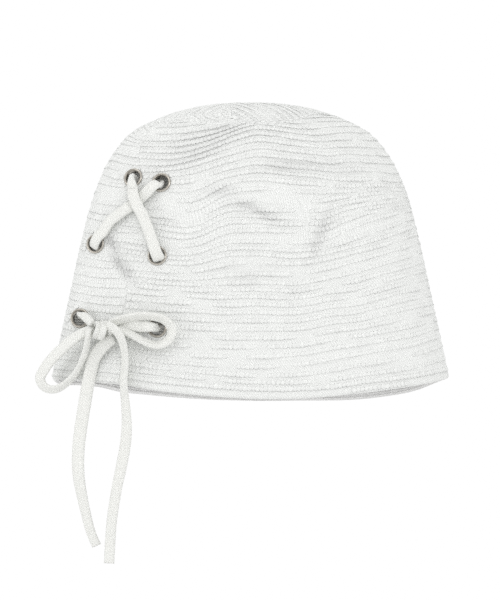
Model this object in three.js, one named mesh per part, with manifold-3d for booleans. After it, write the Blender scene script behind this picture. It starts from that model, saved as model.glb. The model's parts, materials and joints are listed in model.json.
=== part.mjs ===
// A knitted beanie: three crown panels sewn together at an apex in front of the top, six metal
// eyelets in two columns across the front left seam, and one flat lace that crosses between
// them and is tied in a bow whose tails hang below the rim.
//
// Millimetres. +X is the right of the front view, +Y the back of the hat and +Z up. The origin
// is on the outside of the crown's top, less one wall: the spot where the head carries the hat.
import * as THREE from 'three';
import { mergeVertices } from 'three/addons/utils/BufferGeometryUtils.js';
import Module from 'manifold-3d';

const wasm = await Module();
wasm.setup();

// ---------------------------------------------------------------- driving dimensions

const WALL = 2.4; // thickness of the knit
const HEM_WALL = 3.6; // the knit turned in at the rim
const HEM_FROM = 0.93; // share of the way down where the hem starts
const SEAM_GAP = 0.36; // clear between two panels
const APEX_SHARE = 0.012; // how near the apex the panels come, as a share of the way down
const DISK_SIZE = 110; // millimetres across the disk's radius, for the seam gap
const PANEL_ROWS = 24; // steps of every panel from the apex to the rim, so that seams match

const EYELET_HOLE = 3.5; // inner radius
const EYELET_BARREL = 3.85; // outer radius of the barrel
const EYELET_FLANGE = 5.9; // outer radius of the rolled face
const EYELET_GAP = 0.3; // between metal and knit
const PRESS_SLACK = 0.1; // how far the knit may still stand proud under the rolled faces
const FLAT_INSIDE = 6.4; // the knit is pressed flat up to this far from an eyelet's axis
const FLAT_OUTSIDE = 11; // and runs free again here

const LACE_RADIUS = 2.2; // the flat lace as a round cord of about its section
const LACE_SIDES = 8;
const KNOT = { x: -83.1, y: -66.2, drop: 127.4, across: 4.7, deep: 5.2, tall: 5.7 };

const KNIT_WHITE = 0xeceeed;
const LACE_WHITE = 0xf0f1ec;
const NICKEL = 0xb9b6ae;

// The crown's sections, from the top (ring 0) to the rim (ring 1): half width, half depth and
// how far below the top. The first row repeats the third across the top, which keeps it level.
const SECTIONS = [
  { ring: -0.13, wide: -28.6, deep: -22.5, drop: 2.2 },
  { ring: 0, wide: 0, deep: 0, drop: 0 },
  { ring: 0.13, wide: 28.6, deep: 22.5, drop: 2.2 },
  { ring: 0.24, wide: 51.8, deep: 40, drop: 9 },
  { ring: 0.335, wide: 69.4, deep: 51.5, drop: 19 },
  { ring: 0.41, wide: 79.8, deep: 57.5, drop: 32.5 },
  { ring: 0.497, wide: 87.4, deep: 61, drop: 49.3 },
  { ring: 0.624, wide: 94.6, deep: 64.5, drop: 76.2 },
  { ring: 0.78, wide: 101.9, deep: 67.5, drop: 109.8 },
  { ring: 1, wide: 112, deep: 70, drop: 158 },
];

// The plan outline below the shoulder: turn is 0 at the right, 90 at the back, 180 at the left
// and 270 at the front, and reach is the distance from the axis as a share of the ellipse. The
// lacing pulls the front left into a flatter face with a corner at about 217.
const PLAN = [
  { turn: 0, reach: 1 },
  { turn: 22.5, reach: 1.035 },
  { turn: 45, reach: 1.07 },
  { turn: 67.5, reach: 1.035 },
  { turn: 90, reach: 1 },
  { turn: 112.5, reach: 1.035 },
  { turn: 135, reach: 1.07 },
  { turn: 157.5, reach: 1.025 },
  { turn: 180, reach: 0.99 },
  { turn: 194, reach: 1.022 },
  { turn: 204, reach: 1.085 },
  { turn: 211, reach: 1.15 },
  { turn: 217, reach: 1.18 },
  { turn: 222, reach: 1.175 },
  { turn: 232, reach: 1.125 },
  { turn: 247, reach: 1.06 },
  { turn: 270, reach: 1 },
  { turn: 292.5, reach: 1.045 },
  { turn: 315, reach: 1.09 },
  { turn: 337.5, reach: 1.045 },
];
const PLAN_STARTS = 0.1; // ring where the plan begins to leave the ellipse
const PLAN_FULL = 0.6; // ring where it has its whole shape

// How far the rim is cut below (or above) the last section, all the way round.
const RIM = [
  { turn: 0, lower: -3.5 },
  { turn: 20, lower: -2 },
  { turn: 44, lower: 5 },
  { turn: 60, lower: 8.2 },
  { turn: 75, lower: 8.6 },
  { turn: 90, lower: 8.7 },
  { turn: 106, lower: 7.6 },
  { turn: 120, lower: 5.4 },
  { turn: 128, lower: 3.9 },
  { turn: 136, lower: 1.1 },
  { turn: 144, lower: 0.2 },
  { turn: 160, lower: 0 },
  { turn: 180, lower: -1.4 },
  { turn: 205, lower: -2.8 },
  { turn: 222, lower: -1.4 },
  { turn: 234, lower: 1.2 },
  { turn: 244, lower: 4.6 },
  { turn: 256, lower: 7.3 },
  { turn: 270, lower: 9.2 },
  { turn: 285, lower: 9 },
  { turn: 302, lower: 5.9 },
  { turn: 321, lower: 1.3 },
  { turn: 340, lower: -2 },
];

// Soft dents (and one ridge, with a depth below zero) in the front: place of the middle, half
// length, half height, the lean of the long axis in degrees, and the depth.
const DENTS = [
  { x: -30.8, drop: 25.8, long: 24, tall: 7, lean: -28, depth: 2.5 },
  { x: 22.4, drop: 38, long: 18, tall: 3.5, lean: 0, depth: 1.6 },
  { x: -1, drop: 60.5, long: 13, tall: 4, lean: 8, depth: 2 },
  { x: 34.7, drop: 72.8, long: 3.5, tall: 13, lean: 8, depth: -1.6 },
  { x: 0, drop: 104, long: 14, tall: 4, lean: -4, depth: 1.6 },
  { x: -72, drop: 89.6, long: 4, tall: 12, lean: -12, depth: 2.4 },
];
const FRONT_STARTS = -5; // y where the dents of the front fade in
const FRONT_FULL = -25;

// The apex, where the three seams meet.
const APEX = { x: -10.2, drop: 9.3 };

// The seams: way is the share of the way from the apex to the rim, and turn is where the
// straight line from the apex through that point would meet the rim.
const LACING_SEAM = [
  { way: 0, turn: 216 },
  { way: 0.042, turn: 210.5 },
  { way: 0.078, turn: 199 },
  { way: 0.113, turn: 181 },
  { way: 0.146, turn: 173 },
  { way: 0.182, turn: 176.5 },
  { way: 0.22, turn: 184.7 },
  { way: 0.255, turn: 198 },
  { way: 0.285, turn: 206.5 },
  { way: 0.312, turn: 212.7 },
  { way: 0.366, turn: 220 },
  { way: 0.422, turn: 222 },
  { way: 0.475, turn: 220.5 },
  { way: 0.531, turn: 219 },
  { way: 0.621, turn: 225.5 },
  { way: 0.675, turn: 229 },
  { way: 0.814, turn: 231 },
  { way: 1, turn: 235.5 },
];
const CROWN_SEAM = [
  { way: 0, turn: 305 },
  { way: 0.04, turn: 307 },
  { way: 0.075, turn: 310 },
  { way: 0.108, turn: 318.5 },
  { way: 0.125, turn: 330 },
  { way: 0.144, turn: 341.5 },
  { way: 0.16, turn: 353 },
  { way: 0.175, turn: 361 },
  { way: 0.2, turn: 372 },
  { way: 0.225, turn: 379.5 },
  { way: 0.275, turn: 386 },
  { way: 0.33, turn: 386.5 },
  { way: 0.43, turn: 385.5 },
  { way: 0.59, turn: 380.5 },
  { way: 0.8, turn: 377.5 },
  { way: 1, turn: 375 },
];
const BACK_SEAM = [
  { way: 0, turn: 93 },
  { way: 0.3, turn: 97 },
  { way: 1, turn: 100 },
];

// Eyelets, seen from the front. The lace pulls some of them round to face the front: ahead is
// how far, from 0 (square to the knit) to 1.
const EYELETS = {
  eyelet_top_left: { x: -65, drop: 43.7, ahead: 0 },
  eyelet_top_right: { x: -49.3, drop: 46.5, ahead: 0 },
  eyelet_middle_left: { x: -86.2, drop: 80.6, ahead: 0.25 },
  eyelet_middle_right: { x: -51.5, drop: 87.4, ahead: 0 },
  eyelet_bottom_left: { x: -94.8, drop: 122.1, ahead: 0.5 },
  eyelet_bottom_right: { x: -51.5, drop: 127.7, ahead: 0 },
};
const FRONT = new THREE.Vector3(0, -1, 0);

// ---------------------------------------------------------------- reading the tables

// A smooth curve through a table's rows: the value of one column at a place along the key.
function read(rows, key, column, at) {
  let row = 0;
  while (row < rows.length - 2 && at >= rows[row + 1][key]) {
    row += 1;
  }
  const span = rows[row + 1][key] - rows[row][key];
  const share = (at - rows[row][key]) / span;
  const rest = 1 - share;
  const slopeIn = slopeAt(rows, key, column, row) * span;
  const slopeOut = slopeAt(rows, key, column, row + 1) * span;
  return rows[row][column] * (1 + 2 * share) * rest * rest
    + slopeIn * share * rest * rest
    + rows[row + 1][column] * share * share * (3 - 2 * share)
    - slopeOut * share * share * rest;
}

// The curve's slope at a row: that of a parabola through the row and its two neighbours.
function slopeAt(rows, key, column, row) {
  const rise = (k) => (rows[k + 1][column] - rows[k][column]) / (rows[k + 1][key] - rows[k][key]);
  if (row === 0) {
    return rise(0);
  }
  if (row === rows.length - 1) {
    return rise(row - 1);
  }
  const before = rows[row][key] - rows[row - 1][key];
  const after = rows[row + 1][key] - rows[row][key];
  return (rise(row - 1) * after + rise(row) * before) / (before + after);
}

// The same rows with the last two and the first two repeated one turn before and after.
function allRound(rows) {
  const before = rows.slice(-2).map((row) => ({ ...row, turn: row.turn - 360 }));
  const after = rows.slice(0, 2).map((row) => ({ ...row, turn: row.turn + 360 }));
  return [...before, ...rows, ...after];
}

const PLAN_ROUND = allRound(PLAN);
const RIM_ROUND = allRound(RIM);

// ---------------------------------------------------------------- the crown's surface

// The crown is drawn on a unit disk: its middle is the top and its edge the rim.
function plainCrown(u, v) {
  const ring = Math.hypot(u, v);
  const angle = Math.atan2(v, u);
  const turn = (THREE.MathUtils.radToDeg(angle) + 360) % 360;
  const leave = THREE.MathUtils.smoothstep(ring, PLAN_STARTS, PLAN_FULL);
  const reach = 1 + (read(PLAN_ROUND, 'turn', 'reach', turn) - 1) * leave;
  const lower = read(RIM_ROUND, 'turn', 'lower', turn) * ring ** 4;
  return new THREE.Vector3(
    read(SECTIONS, 'ring', 'wide', ring) * Math.cos(angle) * reach,
    read(SECTIONS, 'ring', 'deep', ring) * Math.sin(angle) * reach,
    WALL - read(SECTIONS, 'ring', 'drop', ring) - lower,
  );
}

// The outward normal of a surface that is drawn on the disk.
function normalOn(surface, u, v) {
  const reach = 0.001;
  const alongU = surface(u + reach, v).sub(surface(u - reach, v));
  const alongV = surface(u, v + reach).sub(surface(u, v - reach));
  return alongU.cross(alongV).normalize();
}

// How far the dents push a point of the front inwards.
function dentDepth(point) {
  let depth = 0;
  for (const dent of DENTS) {
    const lean = THREE.MathUtils.degToRad(dent.lean);
    const right = point.x - dent.x;
    const down = WALL - point.z - dent.drop;
    const along = right * Math.cos(lean) + down * Math.sin(lean);
    const across = down * Math.cos(lean) - right * Math.sin(lean);
    depth += dent.depth * Math.exp(-((along / dent.long) ** 2) - (across / dent.tall) ** 2);
  }
  return depth * THREE.MathUtils.smoothstep(-point.y, -FRONT_STARTS, -FRONT_FULL);
}

// The disk's point that lies at x and drop on the front of a surface, by Newton's method.
function diskPoint(surface, x, drop) {
  const small = 0.0001;
  const place = new THREE.Vector2(x / 100, -0.6);
  for (let step = 0; step < 40; step += 1) {
    const here = surface(place.x, place.y);
    const byU = surface(place.x + small, place.y).sub(here).divideScalar(small);
    const byV = surface(place.x, place.y + small).sub(here).divideScalar(small);
    const missX = here.x - x;
    const missZ = here.z - (WALL - drop);
    const area = byU.x * byV.z - byV.x * byU.z;
    const move = new THREE.Vector2(
      (missX * byV.z - missZ * byV.x) / area,
      (missZ * byU.x - missX * byU.z) / area,
    );
    place.sub(move.clampLength(0, 0.1));
  }
  return place;
}

// Where an eyelet sits on the plain crown, and the way its axis points.
function seatOf(eyelet) {
  const place = diskPoint(plainCrown, eyelet.x, eyelet.drop);
  return {
    centre: plainCrown(place.x, place.y),
    axis: normalOn(plainCrown, place.x, place.y).lerp(FRONT, eyelet.ahead).normalize(),
  };
}

const SEATS = Object.fromEntries(
  Object.entries(EYELETS).map(([name, eyelet]) => [name, seatOf(eyelet)]),
);

// The outside of the knit: the plain crown with its dents, pressed flat at the eyelets.
function crown(u, v) {
  const point = plainCrown(u, v);
  const depth = dentDepth(point);
  point.addScaledVector(normalOn(plainCrown, u, v), -depth);
  for (const seat of Object.values(SEATS)) {
    const away = point.clone().sub(seat.centre);
    const height = away.dot(seat.axis);
    const beside = Math.sqrt(Math.max(0, away.lengthSq() - height * height));
    const pressed = 1 - THREE.MathUtils.smoothstep(beside, FLAT_INSIDE, FLAT_OUTSIDE);
    if (Math.abs(height) < FLAT_OUTSIDE) {
      point.addScaledVector(seat.axis, -height * pressed);
    }
  }
  return point;
}

// A point so far above the outside of the front, at x and drop in the front view.
function above(x, drop, height) {
  const place = diskPoint(crown, x, drop);
  return crown(place.x, place.y).addScaledVector(normalOn(crown, place.x, place.y), height);
}

// ---------------------------------------------------------------- the crown's panels

const APEX_POINT = diskPoint(plainCrown, APEX.x, APEX.drop);

// The disk's point at a share of the way from the apex to the rim, towards a turn.
function fromApex(way, turn) {
  const angle = THREE.MathUtils.degToRad(turn);
  const rim = new THREE.Vector2(Math.cos(angle), Math.sin(angle));
  return APEX_POINT.clone().lerp(rim, way);
}

// Half a seam's gap, as degrees of turn. It is wider where the seam runs aslant.
function halfGap(seam, way) {
  const small = 0.005;
  const later = read(seam, 'way', 'turn', Math.min(1, way + small));
  const earlier = read(seam, 'way', 'turn', Math.max(0, way - small));
  const slant = way * THREE.MathUtils.degToRad(later - earlier) / (2 * small);
  return THREE.MathUtils.radToDeg(SEAM_GAP / 2 * Math.hypot(1, slant) / (way * DISK_SIZE));
}

// A closed wall between two seams. Its columns crowd towards the end seam by a power.
function panelGeometry(startSeam, endSeam, lap, columns, crowd) {
  const rows = PANEL_ROWS;
  const outside = [];
  const inside = [];
  for (let row = 0; row <= rows; row += 1) {
    const way = APEX_SHARE + (1 - APEX_SHARE) * (row / rows) ** 1.15;
    const start = read(startSeam, 'way', 'turn', way) + halfGap(startSeam, way);
    const end = read(endSeam, 'way', 'turn', way) + lap - halfGap(endSeam, way);
    const hem = THREE.MathUtils.smoothstep(way, HEM_FROM, HEM_FROM + 0.02);
    const thick = THREE.MathUtils.lerp(WALL, HEM_WALL, hem);
    for (let column = 0; column <= columns; column += 1) {
      const share = 1 - (1 - column / columns) ** crowd;
      const place = fromApex(way, THREE.MathUtils.lerp(start, end, share));
      const point = crown(place.x, place.y);
      outside.push(point);
      inside.push(point.clone().addScaledVector(normalOn(crown, place.x, place.y), -thick));
    }
  }
  const vertex = (face, row, column) => (face * (rows + 1) + row) * (columns + 1) + column;
  const triangles = [];
  const quad = (a, b, c, d) => triangles.push(a, b, c, a, c, d);
  for (let row = 0; row < rows; row += 1) {
    for (let column = 0; column < columns; column += 1) {
      quad(vertex(0, row, column), vertex(0, row + 1, column),
        vertex(0, row + 1, column + 1), vertex(0, row, column + 1));
      quad(vertex(1, row, column), vertex(1, row, column + 1),
        vertex(1, row + 1, column + 1), vertex(1, row + 1, column));
    }
    quad(vertex(0, row, 0), vertex(1, row, 0), vertex(1, row + 1, 0), vertex(0, row + 1, 0));
    quad(vertex(0, row, columns), vertex(0, row + 1, columns),
      vertex(1, row + 1, columns), vertex(1, row, columns));
  }
  for (let column = 0; column < columns; column += 1) {
    quad(vertex(0, 0, column), vertex(0, 0, column + 1),
      vertex(1, 0, column + 1), vertex(1, 0, column));
    quad(vertex(0, rows, column), vertex(1, rows, column),
      vertex(1, rows, column + 1), vertex(0, rows, column + 1));
  }
  const geometry = new THREE.BufferGeometry().setFromPoints([...outside, ...inside]);
  geometry.setIndex(triangles);
  return geometry;
}

// ---------------------------------------------------------------- joining and cutting

function solidOf(geometry) {
  const bare = geometry.clone();
  bare.deleteAttribute('normal');
  bare.deleteAttribute('uv');
  const merged = mergeVertices(bare, 0.0001);
  return new wasm.Manifold(new wasm.Mesh({
    numProp: 3,
    vertProperties: new Float32Array(merged.attributes.position.array),
    triVerts: new Uint32Array(merged.index.array),
  }));
}

function geometryOf(solid) {
  const mesh = solid.getMesh();
  const geometry = new THREE.BufferGeometry();
  geometry.setAttribute('position', new THREE.BufferAttribute(mesh.vertProperties, 3));
  geometry.setIndex(new THREE.BufferAttribute(mesh.triVerts, 1));
  return geometry;
}

// Turns a geometry whose axis is +Y onto a seat.
function placeOn(seat, geometry) {
  const turn = new THREE.Quaternion();
  turn.setFromUnitVectors(new THREE.Vector3(0, 1, 0), seat.axis);
  geometry.applyQuaternion(turn);
  geometry.translate(seat.centre.x, seat.centre.y, seat.centre.z);
  return geometry;
}

// A round cutter on a seat's axis, between two heights above the outside of the knit.
function cutter(seat, radius, low, high) {
  const cylinder = new THREE.CylinderGeometry(radius, radius, high - low, 16);
  cylinder.translate(0, (low + high) / 2, 0);
  return solidOf(placeOn(seat, cylinder));
}

// Punches the eyelets' holes in a panel, and flattens the knit under the rolled faces.
function punch(panel) {
  let solid = solidOf(panel);
  const pressed = EYELET_FLANGE + EYELET_GAP;
  for (const seat of Object.values(SEATS)) {
    const hole = cutter(seat, EYELET_BARREL + EYELET_GAP, -3 * WALL, 3 * WALL);
    const outer = cutter(seat, pressed, PRESS_SLACK, 2 * WALL);
    const inner = cutter(seat, pressed, -3 * WALL, -WALL - PRESS_SLACK);
    solid = solid.subtract(hole.add(outer).add(inner));
  }
  return geometryOf(solid);
}

// ---------------------------------------------------------------- eyelets

// A rolled front face, a barrel through the knit and a rolled back, turned in one piece.
function eyeletGeometry() {
  const top = EYELET_GAP;
  const back = -WALL - EYELET_GAP;
  const profile = [
    [EYELET_HOLE, back - 0.6],
    [EYELET_HOLE, top + 0.7],
    [EYELET_HOLE + 0.6, top + 1.2],
    [EYELET_FLANGE - 0.8, top + 1.1],
    [EYELET_FLANGE, top + 0.3],
    [EYELET_FLANGE - 0.2, top],
    [EYELET_BARREL, top],
    [EYELET_BARREL, back],
    [EYELET_FLANGE - 0.6, back],
    [EYELET_FLANGE - 0.9, back - 0.7],
    [EYELET_HOLE + 0.5, back - 0.9],
  ];
  profile.push(profile[0]);
  profile.reverse();
  return new THREE.LatheGeometry(profile.map(([r, y]) => new THREE.Vector2(r, y)), 16);
}

// ---------------------------------------------------------------- the lace

function tubeGeometry(points, step) {
  const path = new THREE.CatmullRomCurve3(points, false, 'centripetal');
  const section = new THREE.Shape();
  for (let side = 0; side < LACE_SIDES; side += 1) {
    const angle = (side / LACE_SIDES) * 2 * Math.PI;
    const corner = [LACE_RADIUS * Math.cos(angle), LACE_RADIUS * Math.sin(angle)];
    if (side === 0) {
      section.moveTo(...corner);
    } else {
      section.lineTo(...corner);
    }
  }
  return new THREE.ExtrudeGeometry(section, {
    steps: Math.ceil(path.getLength() / step),
    extrudePath: path,
    bevelEnabled: false,
  });
}

// How far beyond the middle of its hole the lace dives in, outside.
const DIVES = {
  eyelet_top_left: 1.8,
  eyelet_top_right: 0,
  eyelet_middle_left: 1.8,
  eyelet_middle_right: 1.8,
  eyelet_bottom_left: 1.8,
  eyelet_bottom_right: 0.4,
};

// The lace as it leaves an eyelet towards a point, outside (side 1) or inside (side -1): it
// climbs out of the hole, passes over the rolled edge and comes down to the knit.
function leaving(name, target, side) {
  const seat = SEATS[name];
  const dive = side > 0 ? DIVES[name] : 0;
  const along = target.clone().sub(seat.centre);
  along.addScaledVector(seat.axis, -along.dot(seat.axis)).normalize();
  const base = side > 0 ? 0 : WALL;
  const climb = [
    { out: 0.8 - dive, rise: 0.9 - dive / 4 },
    { out: 2.1 - dive / 2, rise: 3.2 },
    { out: 4.9, rise: 4.6 },
    { out: 8.4, rise: 3.4 },
  ];
  return climb.map(({ out, rise }) => seat.centre.clone()
    .addScaledVector(along, out)
    .addScaledVector(seat.axis, side * (rise + base)));
}

// A run of lace from eyelet to eyelet, by way of some points between.
function run(from, to, between, side) {
  const start = leaving(from, between[0] ?? SEATS[to].centre, side);
  const end = leaving(to, between[between.length - 1] ?? SEATS[from].centre, side);
  return [...start, ...between, ...end.reverse()];
}

// Inside the crown the lace lies a little off the knit, half way between two eyelets.
function insideMiddle(from, to) {
  const middle = SEATS[from].centre.clone().lerp(SEATS[to].centre, 0.5);
  const seen = { x: middle.x, drop: WALL - middle.z };
  return above(seen.x, seen.drop, -WALL - LACE_RADIUS - 0.7);
}

function laceRoute() {
  const leftEnd = new THREE.Vector3(-88.6, -64.5, WALL - 125);
  const rightEnd = new THREE.Vector3(-77.7, -62.4, WALL - 125.9);
  const up = insideMiddle('eyelet_bottom_left', 'eyelet_middle_left');
  const down = insideMiddle('eyelet_middle_right', 'eyelet_bottom_right');
  const under = [above(-75.2, 69.6, 3.1), above(-66.2, 62.9, 2.7), above(-58, 57, 3)];
  const over = [above(-64.3, 52.2, 5.6), above(-61.9, 59, 7.6), above(-58.3, 66.8, 5.2)];
  return [
    leftEnd,
    ...leaving('eyelet_bottom_left', leftEnd, 1).slice(0, 3).reverse(),
    ...run('eyelet_bottom_left', 'eyelet_middle_left', [up], -1),
    ...run('eyelet_middle_left', 'eyelet_top_right', under, 1),
    ...run('eyelet_top_right', 'eyelet_top_left', [], -1),
    ...run('eyelet_top_left', 'eyelet_middle_right', over, 1),
    ...run('eyelet_middle_right', 'eyelet_bottom_right', [down], -1),
    ...leaving('eyelet_bottom_right', rightEnd, 1),
    above(-66, 126.2, 4),
    rightEnd,
  ];
}

// Free parts of the lace: places seen from the front, with y for the depth.
const LOOP_RIGHT = [
  { x: -78.4, y: -67.4, drop: 122.6 },
  { x: -75.4, y: -68.2, drop: 121.6 },
  { x: -70.6, y: -69, drop: 120.4 },
  { x: -62.2, y: -69.8, drop: 119.8 },
  { x: -53.8, y: -70.8, drop: 120.4 },
  { x: -47, y: -71.4, drop: 123.2 },
  { x: -43.7, y: -71.4, drop: 128.2 },
  { x: -44.8, y: -71, drop: 133.3 },
  { x: -49.3, y: -70.4, drop: 136.6 },
  { x: -53.8, y: -69.8, drop: 137.2 },
  { x: -61, y: -69.2, drop: 135.3 },
  { x: -67.2, y: -68.4, drop: 131.8 },
  { x: -72.8, y: -67.5, drop: 129.9 },
  { x: -77.6, y: -67.2, drop: 129.9 },
];
const LOOP_LEFT = [
  { x: -89.3, y: -64.4, drop: 128.6 },
  { x: -92.4, y: -64.2, drop: 130 },
  { x: -98.6, y: -62.5, drop: 133.8 },
  { x: -104.7, y: -60, drop: 138.9 },
  { x: -110.9, y: -57.2, drop: 145 },
  { x: -115.4, y: -54.8, drop: 151.2 },
  { x: -117.4, y: -53.6, drop: 156 },
  { x: -114.8, y: -53.4, drop: 160.6 },
  { x: -109.2, y: -54.8, drop: 161.8 },
  { x: -104, y: -56.8, drop: 159.4 },
  { x: -98, y: -59.4, drop: 153.8 },
  { x: -94.1, y: -62, drop: 147 },
  { x: -91.6, y: -65.6, drop: 139.4 },
  { x: -90.4, y: -68.6, drop: 133 },
  { x: -89, y: -69.6, drop: 128 },
];
const TAIL_LEFT = [
  { x: -83.2, y: -64.6, drop: 134.1 },
  { x: -85.1, y: -62.8, drop: 138.9 },
  { x: -87.9, y: -61.4, drop: 145 },
  { x: -89, y: -61, drop: 151.8 },
  { x: -90.3, y: -61.4, drop: 157.9 },
  { x: -92.4, y: -62, drop: 170.2 },
  { x: -94.6, y: -62.2, drop: 184.2 },
  { x: -96, y: -62, drop: 198.2 },
  { x: -95.8, y: -61.6, drop: 209.4 },
  { x: -94.1, y: -61.2, drop: 220.1 },
  { x: -91.8, y: -61, drop: 230.7 },
  { x: -89, y: -61, drop: 241.4 },
  { x: -85.7, y: -61.2, drop: 248.6 },
];
const TAIL_RIGHT = [
  { x: -79.2, y: -72.2, drop: 125.6 },
  { x: -75.8, y: -73, drop: 127.8 },
  { x: -72.5, y: -72.8, drop: 131.5 },
  { x: -70.6, y: -71, drop: 136 },
  { x: -69.4, y: -68.6, drop: 142 },
  { x: -69.3, y: -67.2, drop: 149.5 },
  { x: -70, y: -67.2, drop: 157.9 },
  { x: -68.9, y: -67.8, drop: 170.2 },
  { x: -68.2, y: -68, drop: 182 },
  { x: -69, y: -67.6, drop: 193 },
  { x: -71.2, y: -67, drop: 205 },
  { x: -73.9, y: -66.4, drop: 218 },
  { x: -76.6, y: -66, drop: 236 },
  { x: -78.1, y: -66, drop: 258.4 },
];

function routeOf(rows) {
  return rows.map((row) => new THREE.Vector3(row.x, row.y, WALL - row.drop));
}

// The knot as one closed lump of its outer form.
function knotGeometry() {
  const knot = new THREE.SphereGeometry(1, 14, 10);
  knot.scale(KNOT.across, KNOT.deep, KNOT.tall);
  knot.translate(KNOT.x, KNOT.y, WALL - KNOT.drop);
  return knot;
}

// ---------------------------------------------------------------- the model

const knit = new THREE.MeshStandardMaterial({ color: KNIT_WHITE, roughness: 0.95 });
const cotton = new THREE.MeshStandardMaterial({ color: LACE_WHITE, roughness: 0.9 });
const nickel = new THREE.MeshStandardMaterial({ color: NICKEL, roughness: 0.3, metalness: 1 });

const beanie = new THREE.Group();

function add(name, geometry, material) {
  geometry.computeVertexNormals();
  const mesh = new THREE.Mesh(geometry, material);
  mesh.name = name;
  beanie.add(mesh);
}

add('panel_front', punch(panelGeometry(LACING_SEAM, CROWN_SEAM, 0, 26, 1)), knit);
add('panel_back', panelGeometry(CROWN_SEAM, BACK_SEAM, 360, 16, 1), knit);
add('panel_left', punch(panelGeometry(BACK_SEAM, LACING_SEAM, 0, 24, 1.5)), knit);

for (const [name, seat] of Object.entries(SEATS)) {
  add(name, placeOn(seat, eyeletGeometry()), nickel);
}

add('lace_through_eyelets', tubeGeometry(laceRoute(), 3.2), cotton);
add('bow_knot', knotGeometry(), cotton);
add('bow_loop_left', tubeGeometry(routeOf(LOOP_LEFT), 7), cotton);
add('bow_loop_right', tubeGeometry(routeOf(LOOP_RIGHT), 7), cotton);
add('lace_tail_left', tubeGeometry(routeOf(TAIL_LEFT), 9), cotton);
add('lace_tail_right', tubeGeometry(routeOf(TAIL_RIGHT), 9), cotton);

export default beanie;
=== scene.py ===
import json
import math

import bpy
import numpy as np
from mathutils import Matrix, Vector

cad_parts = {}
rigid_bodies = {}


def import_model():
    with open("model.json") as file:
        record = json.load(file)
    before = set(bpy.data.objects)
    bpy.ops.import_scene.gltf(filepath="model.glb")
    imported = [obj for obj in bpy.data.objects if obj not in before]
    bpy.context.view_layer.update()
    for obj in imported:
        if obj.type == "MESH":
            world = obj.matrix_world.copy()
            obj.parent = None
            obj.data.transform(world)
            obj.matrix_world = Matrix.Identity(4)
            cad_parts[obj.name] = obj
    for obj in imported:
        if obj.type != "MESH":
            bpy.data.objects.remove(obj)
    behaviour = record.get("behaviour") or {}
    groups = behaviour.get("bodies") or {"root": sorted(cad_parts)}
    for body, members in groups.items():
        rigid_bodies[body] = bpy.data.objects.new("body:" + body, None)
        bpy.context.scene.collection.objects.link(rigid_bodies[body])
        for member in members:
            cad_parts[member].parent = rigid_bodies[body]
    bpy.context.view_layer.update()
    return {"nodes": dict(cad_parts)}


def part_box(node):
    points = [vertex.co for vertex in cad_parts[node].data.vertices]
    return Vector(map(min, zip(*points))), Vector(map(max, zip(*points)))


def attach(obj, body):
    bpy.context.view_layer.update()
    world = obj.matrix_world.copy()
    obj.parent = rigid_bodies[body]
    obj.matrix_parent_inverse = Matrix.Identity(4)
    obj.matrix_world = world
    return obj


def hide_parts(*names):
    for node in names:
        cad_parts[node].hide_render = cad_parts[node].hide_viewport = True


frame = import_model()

bl_info = {
    "name": "Laced Knit Beanie",
    "version": (1, 0, 0),
    "blender": (4, 5, 0),
    "location": "3D View > Sidebar > Beanie",
    "description": "Knits the panels of a laced beanie, sets its eyelets and ties its lace",
    "category": "Object",
}

# Metres throughout. +X is the right of the front view, +Y the back and +Z up.
BODY = "root"
TO_FRONT = np.array([0, -1.0, 0])


# ---------------------------------------------------------------- tables

def columns(names, *rows):
    """A table as its columns, by name."""
    return dict(zip(names.split(), np.array(rows, float).T))


def all_round(rows):
    """A closed table with one lap before and one lap after."""
    laps = {name: np.tile(values, 3) for name, values in rows.items()}
    laps["turn"] = laps["turn"] + np.repeat([-360, 0, 360], len(rows["turn"]))
    return laps


WALL = 0.0024  # thickness of the knit
HEM_WALL = 0.0036  # the knit turned in at the rim
HEM_TALL = 0.013  # how far up the hem reaches inside

# The crown's sections from the top (ring 0) to the rim (ring 1).
SECTIONS = columns(
    "ring wide deep drop",
    (-0.13, -0.0286, -0.0225, 0.0022),
    (0, 0, 0, 0),
    (0.13, 0.0286, 0.0225, 0.0022),
    (0.24, 0.0518, 0.04, 0.009),
    (0.335, 0.0694, 0.0515, 0.019),
    (0.41, 0.0798, 0.0575, 0.0325),
    (0.497, 0.0874, 0.061, 0.0493),
    (0.624, 0.0946, 0.0645, 0.0762),
    (0.78, 0.1019, 0.0675, 0.1098),
    (1, 0.112, 0.07, 0.158),
)

# The plan outline, as a share of an ellipse: turn is 0 at the right, 90 at the back, 180 at the
# left and 270 in front.
PLAN = all_round(columns(
    "turn reach",
    (0, 1), (22.5, 1.035), (45, 1.07), (67.5, 1.035), (90, 1), (112.5, 1.035), (135, 1.07),
    (157.5, 1.025), (180, 0.99), (194, 1.022), (204, 1.085), (211, 1.15), (217, 1.18),
    (222, 1.175), (232, 1.125), (247, 1.06), (270, 1), (292.5, 1.045), (315, 1.09),
    (337.5, 1.045),
))
PLAN_SPAN = (0.1, 0.6)  # the rings from the plain ellipse to the plan's full form

# How far the rim is cut below the last section.
RIM = all_round(columns(
    "turn lower",
    (0, -0.0035), (20, -0.002), (44, 0.005), (60, 0.0082), (75, 0.0086), (90, 0.0087),
    (106, 0.0076), (120, 0.0054), (128, 0.0039), (136, 0.0011), (144, 0.0002), (160, 0),
    (180, -0.0014), (205, -0.0028), (222, -0.0014), (234, 0.0012), (244, 0.0046),
    (256, 0.0073), (270, 0.0092), (285, 0.009), (302, 0.0059), (321, 0.0013), (340, -0.002),
))

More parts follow.
